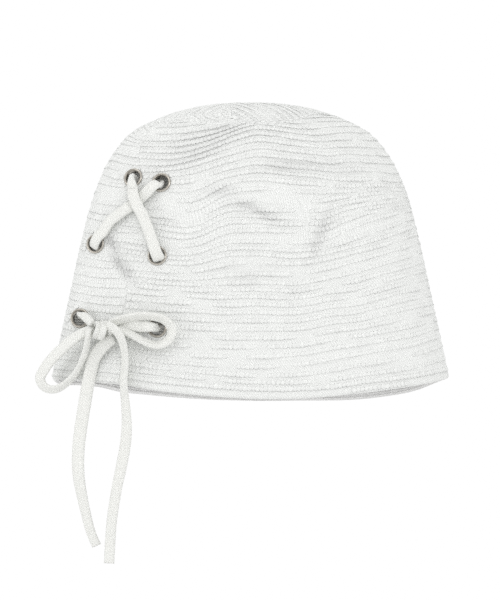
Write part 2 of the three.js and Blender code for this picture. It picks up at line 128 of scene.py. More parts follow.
# Soft dents in the front: middle, half length, half height, lean in degrees and depth.
DENTS = columns(
    "x drop long tall lean depth",
    (-0.0308, 0.0258, 0.024, 0.007, -28, 0.0025),
    (0.0224, 0.038, 0.018, 0.0035, 0, 0.0016),
    (-0.001, 0.0605, 0.013, 0.004, 8, 0.002),
    (0.0347, 0.0728, 0.0035, 0.013, 8, -0.0016),
    (0, 0.104, 0.014, 0.004, -4, 0.0016),
    (-0.072, 0.0896, 0.004, 0.012, -12, 0.0024),
)
FRONT_SPAN = (0.005, 0.025)  # how far forward the marks of the front fade in

# The apex, and the seams from it to the rim: the turn at each share of the way down.
APEX = {"x": -0.0102, "drop": 0.0093}
LACING_SEAM = columns(
    "way turn",
    (0, 216), (0.042, 210.5), (0.078, 199), (0.113, 181), (0.146, 173), (0.182, 176.5),
    (0.22, 184.7), (0.255, 198), (0.285, 206.5), (0.312, 212.7), (0.366, 220), (0.422, 222),
    (0.475, 220.5), (0.531, 219), (0.621, 225.5), (0.675, 229), (0.814, 231), (1, 235.5),
)
CROWN_SEAM = columns(
    "way turn",
    (0, 305), (0.04, 307), (0.075, 310), (0.108, 318.5), (0.125, 330), (0.144, 341.5),
    (0.16, 353), (0.175, 361), (0.2, 372), (0.225, 379.5), (0.275, 386), (0.33, 386.5),
    (0.43, 385.5), (0.59, 380.5), (0.8, 377.5), (1, 375),
)
BACK_SEAM = columns("way turn", (0, 93), (0.3, 97), (1, 100))

# How the ridges of the front run: how much lower than a level line they lie, by the turn and
# by the height climbed from the rim.
FLOW_CLIMB = np.array([0, 0.025, 0.05, 0.075, 0.1, 0.112, 0.125, 0.15])
FLOW = columns(
    "turn rim waist low middle high fold over top",
    (218, 0.006, 0.009, 0.008, 0.012, 0.020, 0.023, 0.025, 0.027),
    (240, 0.006, 0.009, 0.011, 0.018, 0.0215, 0.022, 0.024, 0.024),
    (250, 0.006, 0.009, 0.011, 0.019, 0.0225, 0.021, 0.020, 0.020),
    (262, 0.006, 0.009, 0.011, 0.012, 0.013, 0.013, 0.014, 0.013),
    (271, 0.006, 0.009, 0.010, 0.011, 0.012, 0.011, 0.011, 0.009),
    (286, 0.006, 0.008, 0.010, 0.012, 0.013, 0.013, 0.012, 0.010),
    (295, 0.006, 0.006, 0.007, 0.010, 0.013, 0.014, 0.013, 0.012),
    (302, 0.005, 0.005, 0.006, 0.007, 0.009, 0.015, 0.014, 0.012),
    (310, 0.005, 0.004, 0.003, 0.004, 0.005, 0.015, 0.013, 0.011),
    (320, 0.005, 0.003, 0.000, 0.001, 0.002, 0.014, 0.013, 0.010),
    (335, 0.005, 0.001, -0.002, -0.002, -0.001, 0.014, 0.013, 0.010),
    (375, 0.005, 0.000, -0.003, -0.003, -0.002, 0.009, 0.011, 0.010),
)
LEFT_LIFT = 0.0075  # how far the ridges of the left panel are set off from the rim
# Near the apex the ridges of the other two panels run straight across: the way that their
# numbers rise, seen from above, and the rings where they leave the level line.
BACK_GORE = {"turn": 28, "starts": 0.62, "full": 0.28}
LEFT_GORE = {"turn": 150, "starts": 0.4, "full": 0.2}
LEFT_SAG = 0.0035  # how much lower the ridges run beside the lacing
SAG_TURNS = (206, 228)  # where the sag fades in
SAG_CLIMBS = (0, 0.03)

# Where the ridges stand out more (or less): middle, half sizes, lean and by how much. A bolder ridge
# also takes a darker, wider painted shade in its groove.
BOLDER = columns(
    "x drop long tall lean more",
    (-0.0155, 0.0165, 0.013, 0.0035, -14, 0.65),
    (-0.034, 0.0215, 0.017, 0.003, -12, 0.4),
    (-0.031, 0.027, 0.022, 0.009, -16, 0.35),
    (-0.0265, 0.030, 0.008, 0.0035, -18, 0.45),
    (-0.042, 0.037, 0.010, 0.003, -15, 0.4),
    (0.0205, 0.0355, 0.009, 0.0022, 2, 0.9),
    (0.0335, 0.036, 0.010, 0.002, 0, 0.5),
    (0.0195, 0.0395, 0.022, 0.002, 1, 0.55),
    (0.030, 0.0445, 0.012, 0.002, 3, 0.55),
    (0.056, 0.038, 0.009, 0.005, 0, 0.4),
    (0.0475, 0.0555, 0.007, 0.002, 0, 0.45),
    (-0.0155, 0.0505, 0.010, 0.0035, -10, 0.6),
    (-0.0055, 0.0585, 0.007, 0.0024, 2, 0.9),
    (0.0065, 0.0625, 0.007, 0.003, 12, 0.9),
    (0.012, 0.068, 0.006, 0.002, 0, 0.8),
    (0.0045, 0.0725, 0.018, 0.0016, 0, 0.5),
    (0.039, 0.0745, 0.0036, 0.014, 22, 0.7),
    (-0.025, 0.079, 0.004, 0.007, 0, 0.35),
    (-0.0055, 0.1025, 0.011, 0.003, -8, 0.4),
    (-0.014, 0.095, 0.009, 0.002, -10, 0.35),
    (0.0335, 0.093, 0.012, 0.0025, 0, 0.3),
    (0.014, 0.056, 0.012, 0.004, 0, -0.6),
    (0.031, 0.067, 0.005, 0.014, 8, -0.6),
    (-0.046, 0.061, 0.010, 0.004, 0, -0.5),
    (-0.004, 0.0105, 0.034, 0.0035, 0, -0.9),
    (-0.062, 0.016, 0.020, 0.010, -25, -0.6),
    (0.104, 0.060, 0.010, 0.050, 12, -0.3),
    (-0.040, 0.120, 0.050, 0.006, 0, 0.2),
    (0.058, 0.020, 0.024, 0.011, 24, -0.3),
    (-0.030, 0.140, 0.030, 0.010, 0, -0.15),
)

# Creases in the front: middle, half length, half height, lean and how sharp. Each is pressed in and
# darkened with painted shade, on the knit and on its stitches.
CREASES = columns(
    "x drop long tall lean sharp",
    (-0.0715, 0.093, 0.010, 0.0028, 54, 1.5),
    (-0.0775, 0.080, 0.0045, 0.0024, 50, 1.5),
    (0.0392, 0.0765, 0.003, 0.015, 20, 0.7),
    (-0.0015, 0.0595, 0.009, 0.0018, 22, 0.5),
    (0.0056, 0.0633, 0.015, 0.0032, 28, 0.6),
    (-0.0168, 0.0507, 0.009, 0.003, -10, 0.6),
    (-0.0135, 0.015, 0.006, 0.0026, -20, 0.6),
    (-0.0266, 0.0241, 0.021, 0.0062, -24, 0.5),
    (-0.0265, 0.0305, 0.010, 0.0022, -22, 0.35),
    (0.0235, 0.0368, 0.016, 0.0034, 0, 0.6),
    (0.054, 0.0375, 0.010, 0.003, 0, 0.3),
    (-0.0045, 0.098, 0.009, 0.004, 20, 0.3),
    (0.0224, 0.108, 0.003, 0.009, 0, 0.3),
    (-0.0476, 0.067, 0.009, 0.003, -8, 0.3),
)
CREASE_DEPTH = 0.0008

# The lace where it is free: places in front of the hat, its width and how far it is turned
# edge-on, in degrees.
LOOP_RIGHT = columns(
    "x y drop wide turned",
    (-0.0784, -0.0674, 0.1252, 0.0046, 42),
    (-0.0754, -0.0682, 0.1242, 0.0056, 46),
    (-0.0706, -0.0690, 0.1226, 0.0064, 50),
    (-0.0622, -0.0698, 0.1212, 0.0068, 54),
    (-0.0538, -0.0708, 0.1214, 0.0068, 56),
    (-0.0470, -0.0714, 0.1238, 0.0068, 52),
    (-0.0437, -0.0714, 0.1285, 0.0068, 50),
    (-0.0448, -0.0710, 0.1336, 0.0068, 50),
    (-0.0493, -0.0704, 0.1368, 0.0068, 54),
    (-0.0538, -0.0698, 0.1370, 0.0068, 58),
    (-0.0610, -0.0692, 0.1342, 0.0068, 60),
    (-0.0672, -0.0684, 0.1309, 0.0066, 56),
    (-0.0728, -0.0675, 0.1289, 0.0058, 50),
    (-0.0776, -0.0672, 0.1282, 0.0044, 50),
)
LOOP_LEFT = columns(
    "x y drop wide turned",
    (-0.0893, -0.0644, 0.1286, 0.0046, 10),
    (-0.0924, -0.0642, 0.1300, 0.0054, 10),
    (-0.0986, -0.0625, 0.1338, 0.0064, 14),
    (-0.1047, -0.0600, 0.1389, 0.0066, 20),
    (-0.1109, -0.0572, 0.1450, 0.0066, 26),
    (-0.1154, -0.0548, 0.1512, 0.0066, 30),
    (-0.1174, -0.0536, 0.1560, 0.0066, 38),
    (-0.1148, -0.0534, 0.1606, 0.0066, 50),
    (-0.1092, -0.0548, 0.1618, 0.0066, 58),
    (-0.1040, -0.0568, 0.1594, 0.0066, 62),
    (-0.0980, -0.0594, 0.1538, 0.0066, 65),
    (-0.0941, -0.0620, 0.1470, 0.0066, 68),
    (-0.0916, -0.0656, 0.1394, 0.0064, 70),
    (-0.0904, -0.0686, 0.1330, 0.0060, 70),
    (-0.0890, -0.0698, 0.1276, 0.0046, 76),
)
TAIL_LEFT = columns(
    "x y drop wide turned",
    (-0.0760, -0.0655, 0.1334, 0.0058, 0),
    (-0.0800, -0.0648, 0.1358, 0.0071, 0),
    (-0.0843, -0.0632, 0.1402, 0.0074, -4),
    (-0.0874, -0.0616, 0.1456, 0.0072, -6),
    (-0.0890, -0.0610, 0.1518, 0.0072, -10),
    (-0.0903, -0.0614, 0.1579, 0.0072, -6),
    (-0.0924, -0.0620, 0.1702, 0.0072, 0),
    (-0.0946, -0.0622, 0.1842, 0.0072, 6),
    (-0.0960, -0.0620, 0.1982, 0.0072, 16),
    (-0.0958, -0.0616, 0.2094, 0.0072, 26),
    (-0.0941, -0.0612, 0.2201, 0.0070, 36),
    (-0.0918, -0.0610, 0.2307, 0.0068, 42),
    (-0.0890, -0.0610, 0.2414, 0.0066, 44),
    (-0.0857, -0.0612, 0.2493, 0.0064, 42),
)
TAIL_RIGHT = columns(
    "x y drop wide turned",
    (-0.0798, -0.0722, 0.1256, 0.0048, 30),
    (-0.0764, -0.0730, 0.1278, 0.0056, 40),
    (-0.0731, -0.0728, 0.1315, 0.0062, 50),
    (-0.0712, -0.0710, 0.1360, 0.0066, 58),
    (-0.0700, -0.0686, 0.1420, 0.0068, 62),
    (-0.0699, -0.0672, 0.1495, 0.0070, 64),
    (-0.0706, -0.0672, 0.1579, 0.0072, 62),
    (-0.0695, -0.0678, 0.1702, 0.0072, 54),
    (-0.0688, -0.0680, 0.1820, 0.0072, 44),
    (-0.0696, -0.0676, 0.1930, 0.0072, 36),
    (-0.0718, -0.0670, 0.2050, 0.0072, 36),
    (-0.0745, -0.0664, 0.2180, 0.0070, 38),
    (-0.0772, -0.0660, 0.2360, 0.0068, 38),
    (-0.0787, -0.0660, 0.2591, 0.0066, 34),
)

# How the lace goes into each eyelet outside: how far beyond the middle of the hole it dives,
# its width there, and how far it lies to the right and up.
DIVES = {
    "eyelet_top_left": (0.0018, 0.0026, 0.0, 0.0),
    "eyelet_top_right": (-0.0010, 0.0054, 0.0, 0.0),
    "eyelet_middle_left": (0.0030, 0.0060, 0.0007, 0.0),
    "eyelet_middle_right": (0.0030, 0.0068, 0.0004, 0.0),
    "eyelet_bottom_left": (0.0006, 0.0022, -0.0004, 0.0024),
    "eyelet_bottom_right": (0.0004, 0.0050, 0.0, 0.0),
}
INSIDE_DIVE = (0.0, 0.0046, 0.0, 0.0)

# The lace's way out of an eyelet: how far along the knit and above it, and its share of the easy
# width. A dive moves the first two steps back and down by its parts here.
CLIMB_OUT = columns(
    "out rise dive_out dive_down ease",
    (0.0008, 0.0009, 1, 0.25, 0),
    (0.0021, 0.0032, 0.5, 0, 0.15),
    (0.0049, 0.0042, 0, 0, 0.65),
    (0.0084, 0.0032, 0, 0, 1),
)

# The two runs that cross, and the last bend before the knot: x, drop and height above the knit.
RUN_UNDER = ((-0.0778, 0.0690, 0.0030), (-0.0712, 0.0634, 0.0026), (-0.0647, 0.0589, 0.0024),
             (-0.0578, 0.0532, 0.0027))
RUN_OVER = ((-0.0643, 0.0522, 0.0048), (-0.0619, 0.0590, 0.0062), (-0.0583, 0.0668, 0.0045))
LAST_BEND = ((-0.0660, 0.1262, 0.0040),)
INSIDE_DEPTH = 0.0029  # how far inside the wall the lace runs
LACE_LEFT_END = (-0.0880, -0.0646, 0.1256)  # x, y and drop, at the knot
LACE_RIGHT_END = (-0.0777, -0.0624, 0.1259)
LACE_END_WIDE = 0.0046

# The bands of the knot: rings that wrap its core, each with its own lean and place.
KNOT_CENTRE = (-0.0830, -0.0662, 0.1288)  # x, y and drop
KNOT_STEPS = 32  # round each band
KNOT_THICKER = 1.15  # than the lace
KNOT_BANDS = columns(
    "x y drop across tall deep lean wide",
    (-0.0030, -0.0002, 0.0000, 0.0012, 0.0038, 0.0050, 18, 0.0034),
    (0.0000, -0.0010, 0.0002, 0.0012, 0.0043, 0.0056, 12, 0.0037),
    (0.0032, -0.0004, -0.0012, 0.0013, 0.0031, 0.0048, -32, 0.0035),
)


# ---------------------------------------------------------------- settings

def length(name, description, default, low, high):
    return bpy.props.FloatProperty(
        name=name, description=description, default=default, min=low, max=high, unit="LENGTH")


def tint(name, description, default):
    return bpy.props.FloatVectorProperty(
        name=name, description=description, default=default, min=0, max=1, size=3,
        subtype="COLOR")


def light_power(name, description, default):
    return bpy.props.FloatProperty(name=name, description=description, default=default, min=0)


class KnitSettings(bpy.types.PropertyGroup):
    """Sizes and colours of the knit"""

    ridge_pitch: length("Ridge Pitch", "From one ridge to the next", 0.0046, 0.003, 0.008)
    ridge_height: length(
        "Ridge Height", "How far a bold ridge stands above its groove", 0.00024, 0, 0.002)
    stitch_pitch: length(
        "Stitch Pitch", "From one stitch to the next along a ridge", 0.0023, 0.001, 0.006)
    stitch_tall: length(
        "Stitch Height", "Length of a stitch across its ridge", 0.0033, 0.001, 0.006)
    yarn: tint("Yarn", "Colour of the knit", (0.824, 0.835, 0.816))
    # Painted shade: the colour of the grooves, seams, creases, tucks and the weave's lows; the
    # stitches' random tones also mix towards it.
    shade: tint("Shade", "Colour of the knit deep in its grooves", (0.63, 0.635, 0.625))
    inside: tint("Inside", "Colour of the back of the knit", (0.84, 0.84, 0.83))
    # Painted shade: the back of the knit darkens towards this colour well up inside the hat.
    hollow: tint(
        "Hollow", "Colour of the back of the knit well up inside the hat", (0.42, 0.42, 0.4))


class LaceSettings(bpy.types.PropertyGroup):
    """Sizes and colours of the lace"""

    width: length("Width", "Width of the flat lace", 0.0072, 0.003, 0.012)
    thickness: length("Thickness", "Thickness of the flat lace", 0.0026, 0.001, 0.005)
    cotton: tint("Cotton", "Colour of the lace", (0.81, 0.815, 0.787))
    # Painted shade between the lace's threads, in the lows of its twill.
    shade: tint("Shade", "Colour between the lace's threads", (0.62, 0.62, 0.58))


class EyeletSettings(bpy.types.PropertyGroup):
    """Sizes and colours of the eyelets"""

    hole: length("Hole", "Inner radius", 0.0041, 0.002, 0.006)
    flange: length("Flange", "Outer radius of the rolled face", 0.0055, 0.004, 0.01)
    nickel: tint("Nickel", "Colour of the polished metal", (0.55, 0.52, 0.47))
    # The tarnish colour also carries painted shade in the fine groove, at the outer edge and down
    # the bore.
    tarnish_and_shade: tint("Tarnish", "Colour of the metal in its hollows", (0.16, 0.145, 0.12))


class StageSettings(bpy.types.PropertyGroup):
    """The camera and the studio"""

    distance: length("Distance", "From the camera to the middle of the view", 9.0, 1, 20)
    elevation: bpy.props.FloatProperty(
        name="Elevation", description="How far the camera looks down",
        default=math.radians(-1.0), subtype="ANGLE", unit="ROTATION")
    view_height: length("View Height", "Height of the view at the hat", 0.3375, 0.1, 1)
    aim_drop: length(
        "Aim Drop", "How far below the crown's top the camera aims", 0.1109, 0, 1)
    key: light_power("Key", "Power of the large light above the front", 16.5)
    fill: light_power("Fill", "Power of the light in front, at the hat's height", 6)
    sides: light_power("Sides", "Power of each light at the two sides", 8)
    back: light_power("Back", "Power of the light above and behind the hat", 16)
    surround: light_power("Surround", "Light from the white room all round", 0.66)


SETTINGS = {
    "beanie_knit": KnitSettings,
    "beanie_lace": LaceSettings,
    "beanie_eyelet": EyeletSettings,
    "beanie_stage": StageSettings,
}


# ---------------------------------------------------------------- nodes written as sums

class Wire:
    """A node's output that can stand in sums; each sign adds its Math node."""

    def __init__(self, nodes, socket):
        self.nodes = nodes
        self.socket = socket

    def __add__(self, other):
        return self.nodes.math("ADD", self, other)

    def __sub__(self, other):
        return self.nodes.math("SUBTRACT", self, other)

    def __rsub__(self, other):
        return self.nodes.math("SUBTRACT", other, self)

    def __mul__(self, other):
        return self.nodes.math("MULTIPLY", self, other)

    def __truediv__(self, other):
        return self.nodes.math("DIVIDE", self, other)

    __radd__ = __add__
    __rmul__ = __mul__


class Nodes:
    """Adds nodes to a tree from their type, their settings and what feeds their inputs."""

    def __init__(self, tree):
        self.tree = tree

    def add(self, kind, settings=None, inputs=None, output=0):
        node = self.tree.nodes.new(kind)
        for name, value in (settings or {}).items():
            setattr(node, name, value)
        for key, value in (inputs or {}).items():
            self.feed(node.inputs[key], value)
        return Wire(self, node.outputs[output])

    def feed(self, socket, value):
        if isinstance(value, Wire):
            self.tree.links.new(value.socket, socket)
        else:
            socket.default_value = value

    def math(self, operation, *values):
        return self.add("ShaderNodeMath", {"operation": operation}, dict(enumerate(values)))

    def mix(self, share, first, second):
        """A colour between two colours."""
        settings = {"data_type": "RGBA"}
        return self.add("ShaderNodeMix", settings, {0: share, 6: first, 7: second}, 2)

    def part(self, vector, index):
        """The X, Y or Z of a vector, by its index."""
        return self.add("ShaderNodeSeparateXYZ", None, {0: vector}, index)

    def limit(self, value, low, high):
        """Brings a value from low..high to 0..1, and holds it there."""
        inputs = {"Value": value, "From Min": low, "From Max": high}
        return self.add("ShaderNodeMapRange", {"clamp": True}, inputs)

    def wave(self, turns):
        """0 to 1 and back for each whole turn."""
        return self.math("SINE", turns * (2 * math.pi)) * 0.5 + 0.5


def colour(values):
    return (*values, 1.0)


def grey(value):
    return colour([value] * 3)


class Finish(Nodes):
    """A material with a Principled shader whose varying inputs are fed by sums."""

    def __init__(self, name):
        self.material = bpy.data.materials.new(name)
        self.material.use_nodes = True
        super().__init__(self.material.node_tree)
        self.shader = self.tree.nodes["Principled BSDF"]

    def attribute(self, name):
        return self.add("ShaderNodeAttribute", {"attribute_name": name}, output=2)

    def place(self):
        """The Object coordinates."""
        return self.add("ShaderNodeTexCoord", output=3)

    def uv(self, name):
        """The two coordinates of a UV map."""
        place = self.add("ShaderNodeUVMap", {"uv_map": name})
        return self.part(place, 0), self.part(place, 1)

    def noise(self, place, scale, detail, roughness):
        inputs = {"Vector": place, "Scale": scale, "Detail": detail, "Roughness": roughness}
        return self.add("ShaderNodeTexNoise", None, inputs)

    def bump(self, height, distance, strength):
        inputs = {"Height": height, "Distance": distance, "Strength": strength}
        return self.add("ShaderNodeBump", None, inputs)

    def set(self, **values):
        """Sets or feeds the shader's inputs; an underscore stands for a space."""
        for name, value in values.items():
            self.feed(self.shader.inputs[name.replace("_", " ")], value)
        return self.material


# ---------------------------------------------------------------- reading the tables

def smooth(low, high, at):
    share = np.clip((at - low) / (high - low), 0, 1)
    return share * share * (3 - 2 * share)


def curve_through(keys, values, at):
    """A smooth curve through values, whose last axis follows the keys, at each place."""
    spans = np.diff(keys)
    rises = np.diff(values, axis=-1) / spans
    inner = (rises[..., :-1] * spans[1:] + rises[..., 1:] * spans[:-1]) / (spans[:-1] + spans[1:])
    slopes = np.concatenate([rises[..., :1], inner, rises[..., -1:]], axis=-1)
    at = np.asarray(at, float)
    row = np.clip(np.searchsorted(keys, at, side="right") - 1, 0, len(keys) - 2)
    span = spans[row]
    share = (at - keys[row]) / span
    rest = 1 - share

    def pick(table, index):
        if table.ndim == 1:
            return table[index]
        return np.take_along_axis(table, index[..., None], axis=-1)[..., 0]

    return (pick(values, row) * (1 + 2 * share) * rest**2
            + pick(slopes, row) * span * share * rest**2
            + pick(values, row + 1) * share**2 * (3 - 2 * share)
            - pick(slopes, row + 1) * span * share**2 * rest)


def read(rows, key, column, at):
    """The value of a table's column at a place along its key."""
    return curve_through(rows[key], rows[column], at)


def swell(rows, amount, x, drop):
    """The sum of a table's soft bumps at places on the front."""
    total = np.zeros_like(x)
    for row in range(len(rows["x"])):
        lean = math.radians(rows["lean"][row])
        right = x - rows["x"][row]
        down = drop - rows["drop"][row]
        along = right * math.cos(lean) + down * math.sin(lean)
        across = down * math.cos(lean) - right * math.sin(lean)
        far = (along / rows["long"][row]) ** 2 + (across / rows["tall"][row]) ** 2
        total = total + rows[amount][row] * np.exp(-far)
    return total


# ---------------------------------------------------------------- the crown's surface

def unit(vectors):
    return vectors / np.maximum(np.linalg.norm(vectors, axis=-1, keepdims=True), 1e-12)


def plain_crown(u, v):
    """The crown drawn on a unit disk: its middle is the top and its edge the rim."""
    ring = np.hypot(u, v)
    angle = np.arctan2(v, u)
    turn = np.degrees(angle) % 360
    reach = 1 + (read(PLAN, "turn", "reach", turn) - 1) * smooth(*PLAN_SPAN, ring)
    lower = read(RIM, "turn", "lower", turn) * ring**4
    return np.stack([
        read(SECTIONS, "ring", "wide", ring) * np.cos(angle) * reach,
        read(SECTIONS, "ring", "deep", ring) * np.sin(angle) * reach,
        WALL - read(SECTIONS, "ring", "drop", ring) - lower,
    ], axis=-1)


def normal_on(surface, u, v):
    """The outward normal of a surface that is drawn on the disk."""
    reach = 0.001
    along_u = surface(u + reach, v) - surface(u - reach, v)
    along_v = surface(u, v + reach) - surface(u, v - reach)
    return unit(np.cross(along_u, along_v))


# Newton's method starts from a guess in front and moves by no more than LONGEST_MOVE at a time.
GUESS_RADIUS = 0.1
GUESS_FRONT = -0.6
NEWTON_STEPS = 40
LONGEST_MOVE = 0.1


def disk_point(surface, x, drop):
    """The disk's point that lies at x and drop on the front, by Newton's method."""
    small = 0.0001
    u = x / GUESS_RADIUS
    v = GUESS_FRONT
    for _ in range(NEWTON_STEPS):
        here = surface(u, v)
        by_u = (surface(u + small, v) - here) / small
        by_v = (surface(u, v + small) - here) / small
        miss_x = here[0] - x
        miss_z = here[2] - (WALL - drop)
        area = by_u[0] * by_v[2] - by_v[0] * by_u[2]
        move_u = (miss_x * by_v[2] - miss_z * by_v[0]) / area
        move_v = (miss_z * by_u[0] - miss_x * by_u[2]) / area
        shorten = min(1, LONGEST_MOVE / max(1e-9, math.hypot(move_u, move_v)))
        u = u - move_u * shorten
        v = v - move_v * shorten
    return u, v


EYELET_MIDDLE = 0.00105  # how far an eyelet's middle lies behind the outside of the knit
FLAT_INSIDE = 0.0064  # the knit is flat up to here round an eyelet's axis
FLAT_OUTSIDE = 0.011  # and keeps its own form from here
FAR_AWAY = 1.0  # stands for any place that isn't near an eyelet
# How far the lace pulls an eyelet round to face the front; the others sit square to the knit.
AHEAD = {"eyelet_middle_left": 0.25, "eyelet_bottom_left": 0.5}


def seat_of(node):
    """Where an eyelet sits on the crown, and the way its axis points, found in a few rounds."""
    low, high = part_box(node)
    middle = np.array((low + high) / 2)
    centre = middle
    ahead = AHEAD.get(node, 0)
    for _ in range(4):
        place = disk_point(plain_crown, centre[0], WALL - centre[2])
        axis = unit(normal_on(plain_crown, *place) * (1 - ahead) + TO_FRONT * ahead)
        centre = middle + axis * EYELET_MIDDLE
    return plain_crown(*disk_point(plain_crown, centre[0], WALL - centre[2])), axis


SEATS = {name: seat_of(name) for name in sorted(frame["nodes"]) if name.startswith("eyelet_")}


def beside_seat(point, seat):
    """How high above a seat points are, and how far beside its axis if they are near it."""
    centre, axis = seat
    away = point - centre
    height = away @ axis
    beside = np.sqrt(np.maximum(0, (away * away).sum(-1) - height * height))
    return height, np.where(np.abs(height) < FLAT_OUTSIDE, beside, FAR_AWAY)


def facing_front(point):
    return smooth(*FRONT_SPAN, -point[..., 1])


def crown(u, v):
    """The outside of the knit: dented in front, and pressed flat at the eyelets."""
    point = plain_crown(u, v)
    depth = swell(DENTS, "depth", point[..., 0], WALL - point[..., 2]) * facing_front(point)
    point = point - normal_on(plain_crown, u, v) * depth[..., None]
    for seat in SEATS.values():
        height, beside = beside_seat(point, seat)
        pressed = 1 - smooth(FLAT_INSIDE, FLAT_OUTSIDE, beside)
        point = point - seat[1] * (height * pressed)[..., None]
    return point


def above(x, drop, height):
    """A point above the outside of the front, and the normal there."""
    place = disk_point(crown, x, drop)
    normal = normal_on(crown, *place)
    return crown(*place) + normal * height, normal


# ---------------------------------------------------------------- how the ridges run

RINGS = np.linspace(0, 1, 401)
RIDGE_SWAY = 0.24  # how far a ridge strays from an even spacing, in ridges
RIDGE_SWAY_LENGTH = 0.05  # how far along the cloth a radian of the sway takes
WAVES = 14  # how many waves add up to the wander
WAVES_SUM = 4.5  # the height that counts as 1


def climbs():
    """How far each ring is from the rim, along the mean section."""
    radius = (read(SECTIONS, "ring", "wide", RINGS) + read(SECTIONS, "ring", "deep", RINGS)) / 2
    steps = np.hypot(np.diff(radius), np.diff(read(SECTIONS, "ring", "drop", RINGS)))
    return np.concatenate([np.cumsum(steps[::-1])[::-1], [0]])


CLIMBS = climbs()


def climbed(ring):
    return np.interp(ring, RINGS, CLIMBS)


def front_flow(u, v):
    """How far up the cloth a point of the front panel is, across its ridges."""
    # Turns are counted from 200 degrees on, because the front's run past 360.
    turn = (np.degrees(np.arctan2(v, u)) - 200) % 360 + 200
    turn = np.clip(turn, FLOW["turn"][0], FLOW["turn"][-1])
    climb = climbed(np.hypot(u, v))
    names = [name for name in FLOW if name != "turn"]
    lower = np.stack([read(FLOW, "turn", name, turn) for name in names], axis=-1)
    return climb + curve_through(FLOW_CLIMB, lower, np.minimum(climb, FLOW_CLIMB[-1]))


def gore_flow(u, v, gore):
    """Level at the rim, and straight across the gore near the apex."""
    ring = np.hypot(u, v)
    way = math.radians(gore["turn"])
    ahead = u * math.cos(way) + v * math.sin(way)
    straight = np.where(ahead > 0, climbed(np.abs(ahead)), 2 * CLIMBS[0] - climbed(np.abs(ahead)))
    share = 1 - smooth(gore["full"], gore["starts"], ring)
    return climbed(ring) * (1 - share) + straight * share


def left_flow(u, v):
    """The left panel's flow, which sags beside the lacing."""
    turn = np.degrees(np.arctan2(v, u)) % 360
    climb = climbed(np.hypot(u, v))
    beside_lacing = smooth(*SAG_TURNS, turn) * smooth(*SAG_CLIMBS, climb)
    return gore_flow(u, v, LEFT_GORE) + LEFT_LIFT + LEFT_SAG * beside_lacing


def back_flow(u, v):
    return gore_flow(u, v, BACK_GORE)


def uneven_ridges(level, along):
    """The number of each ridge, with some set wide and others close, in no order that repeats."""
    swing = 0.95 * level + 2.2 * np.sin(0.31 * level) + along / RIDGE_SWAY_LENGTH
    return level + RIDGE_SWAY * np.sin(swing)


def unevenness(along, ridge, seed):
    """A soft wander between -1 and 1 over the cloth, the same each run."""
    chance = np.random.default_rng(seed)
    total = np.zeros_like(along)
    for _ in range(WAVES):
        long = chance.uniform(0.022, 0.07)
        ridges = chance.uniform(1.6, 6) * chance.choice([-1, 1])
        start = chance.uniform(0, 2 * math.pi)
        total += np.sin(2 * math.pi * (along / long + ridge / ridges) + start)
    return np.clip(total / WAVES_SUM, -1, 1)


# ---------------------------------------------------------------- a panel's cloth

APEX_DISK = np.array(disk_point(plain_crown, APEX["x"], APEX["drop"]))
APEX_SHARE = 0.0035  # how near to the apex the cloth starts
APEX_TO_RIM = 0.2  # about how far it is down the cloth
DISK_SIZE = 0.11  # how far the disk's edge is from its middle on the hat
SEAM_GAP = 0.00004  # between two panels
SEAM_ROLL = 0.00006  # radius of the cloth's turn into a seam
SEAM_FOLD = 0.0012  # how much thicker the wall is at a seam, inside
RIM_ROLL = 0.0016  # radius of the turned rim
EDGE_STEPS = np.array([0, 0.00015, 0.0004, 0.0008, 0.0013, 0.002])  # in from an edge
EDGE_ROOM = 0.012  # a panel narrower than this has closer edge steps
WIDTH_STEPS = 24  # for measuring a panel's width
THIN_SHARE = 0.35  # of the thickness, at the very apex
THIN_WIDE = 0.02  # the width that adds the whole thickness to it
COARSE = 4  # steps of the outside to one step of the inside
SHARP_EDGE = math.radians(50)  # a steeper fold is shaded as an edge

# How bold a ridge is, from 0 to 1: it sets how high the ridge stands and how dark the painted shade
# in its groove is.
BOLD_MEAN = 0.46
BOLD_WANDER = 0.5  # what the wander adds or takes
BOLD_APEX = 0.4  # what the apex adds
BOLD_HEM = 0.9  # the least along the hem
BOLD_LEAST = 0.06
CROWDED_LOSS = 0.8  # the share lost where ridges crowd together

# The painted shade under a ridge: its half width in ridges and how dark it is, and what a fold adds.
# CREASE_DARK paints shade into the creases and SEAM_DARK along the seams.
GROOVE_WIDE = 0.085
GROOVE_DARK = 0.54
FOLD_WIDER = 0.24
FOLD_DARKER = 0.32
CREASE_DARK = 0.8
SEAM_DARK = 0.04

PROFILE_LEVEL = 0.8  # the height in a ridge's profile that lies on the plain surface
FOLD_HIGHER = 1.1  # what a fold adds to a ridge's height

EYELET_CUT = 0.0042  # radius of the hole in the knit
EYELET_SPAN = (0.0056, 0.0085)  # how far from an eyelet's axis the ridges fade in
EYELET_CLEAR = 0.0066  # the stitches keep this far from it

# Where each thing fades in: distances from a seam or the rim, rings, or how crowded ridges are.
SEAM_SPAN = (0.0002, 0.0014)
SEAM_SHADE_SPAN = (0.0002, 0.0016)
SEAM_FOLD_SPAN = (0.001, 0.0045)
RIM_SPAN = (0.0008, 0.0026)
HEM_RIDGE_SPAN = (0.006, 0.011)
HEM_SPAN = (HEM_TALL - 0.0008, HEM_TALL)
APEX_SPAN = (0.3, 0.5)
CROWDED_SPAN = (1.2, 2.0)


def from_apex(way, turn):
    """The disk's point at a share of the way from the apex to the rim, towards a turn."""
    angle = np.radians(turn)
    u = APEX_DISK[0] * (1 - way) + np.cos(angle) * way
    v = APEX_DISK[1] * (1 - way) + np.sin(angle) * way
    return u, v


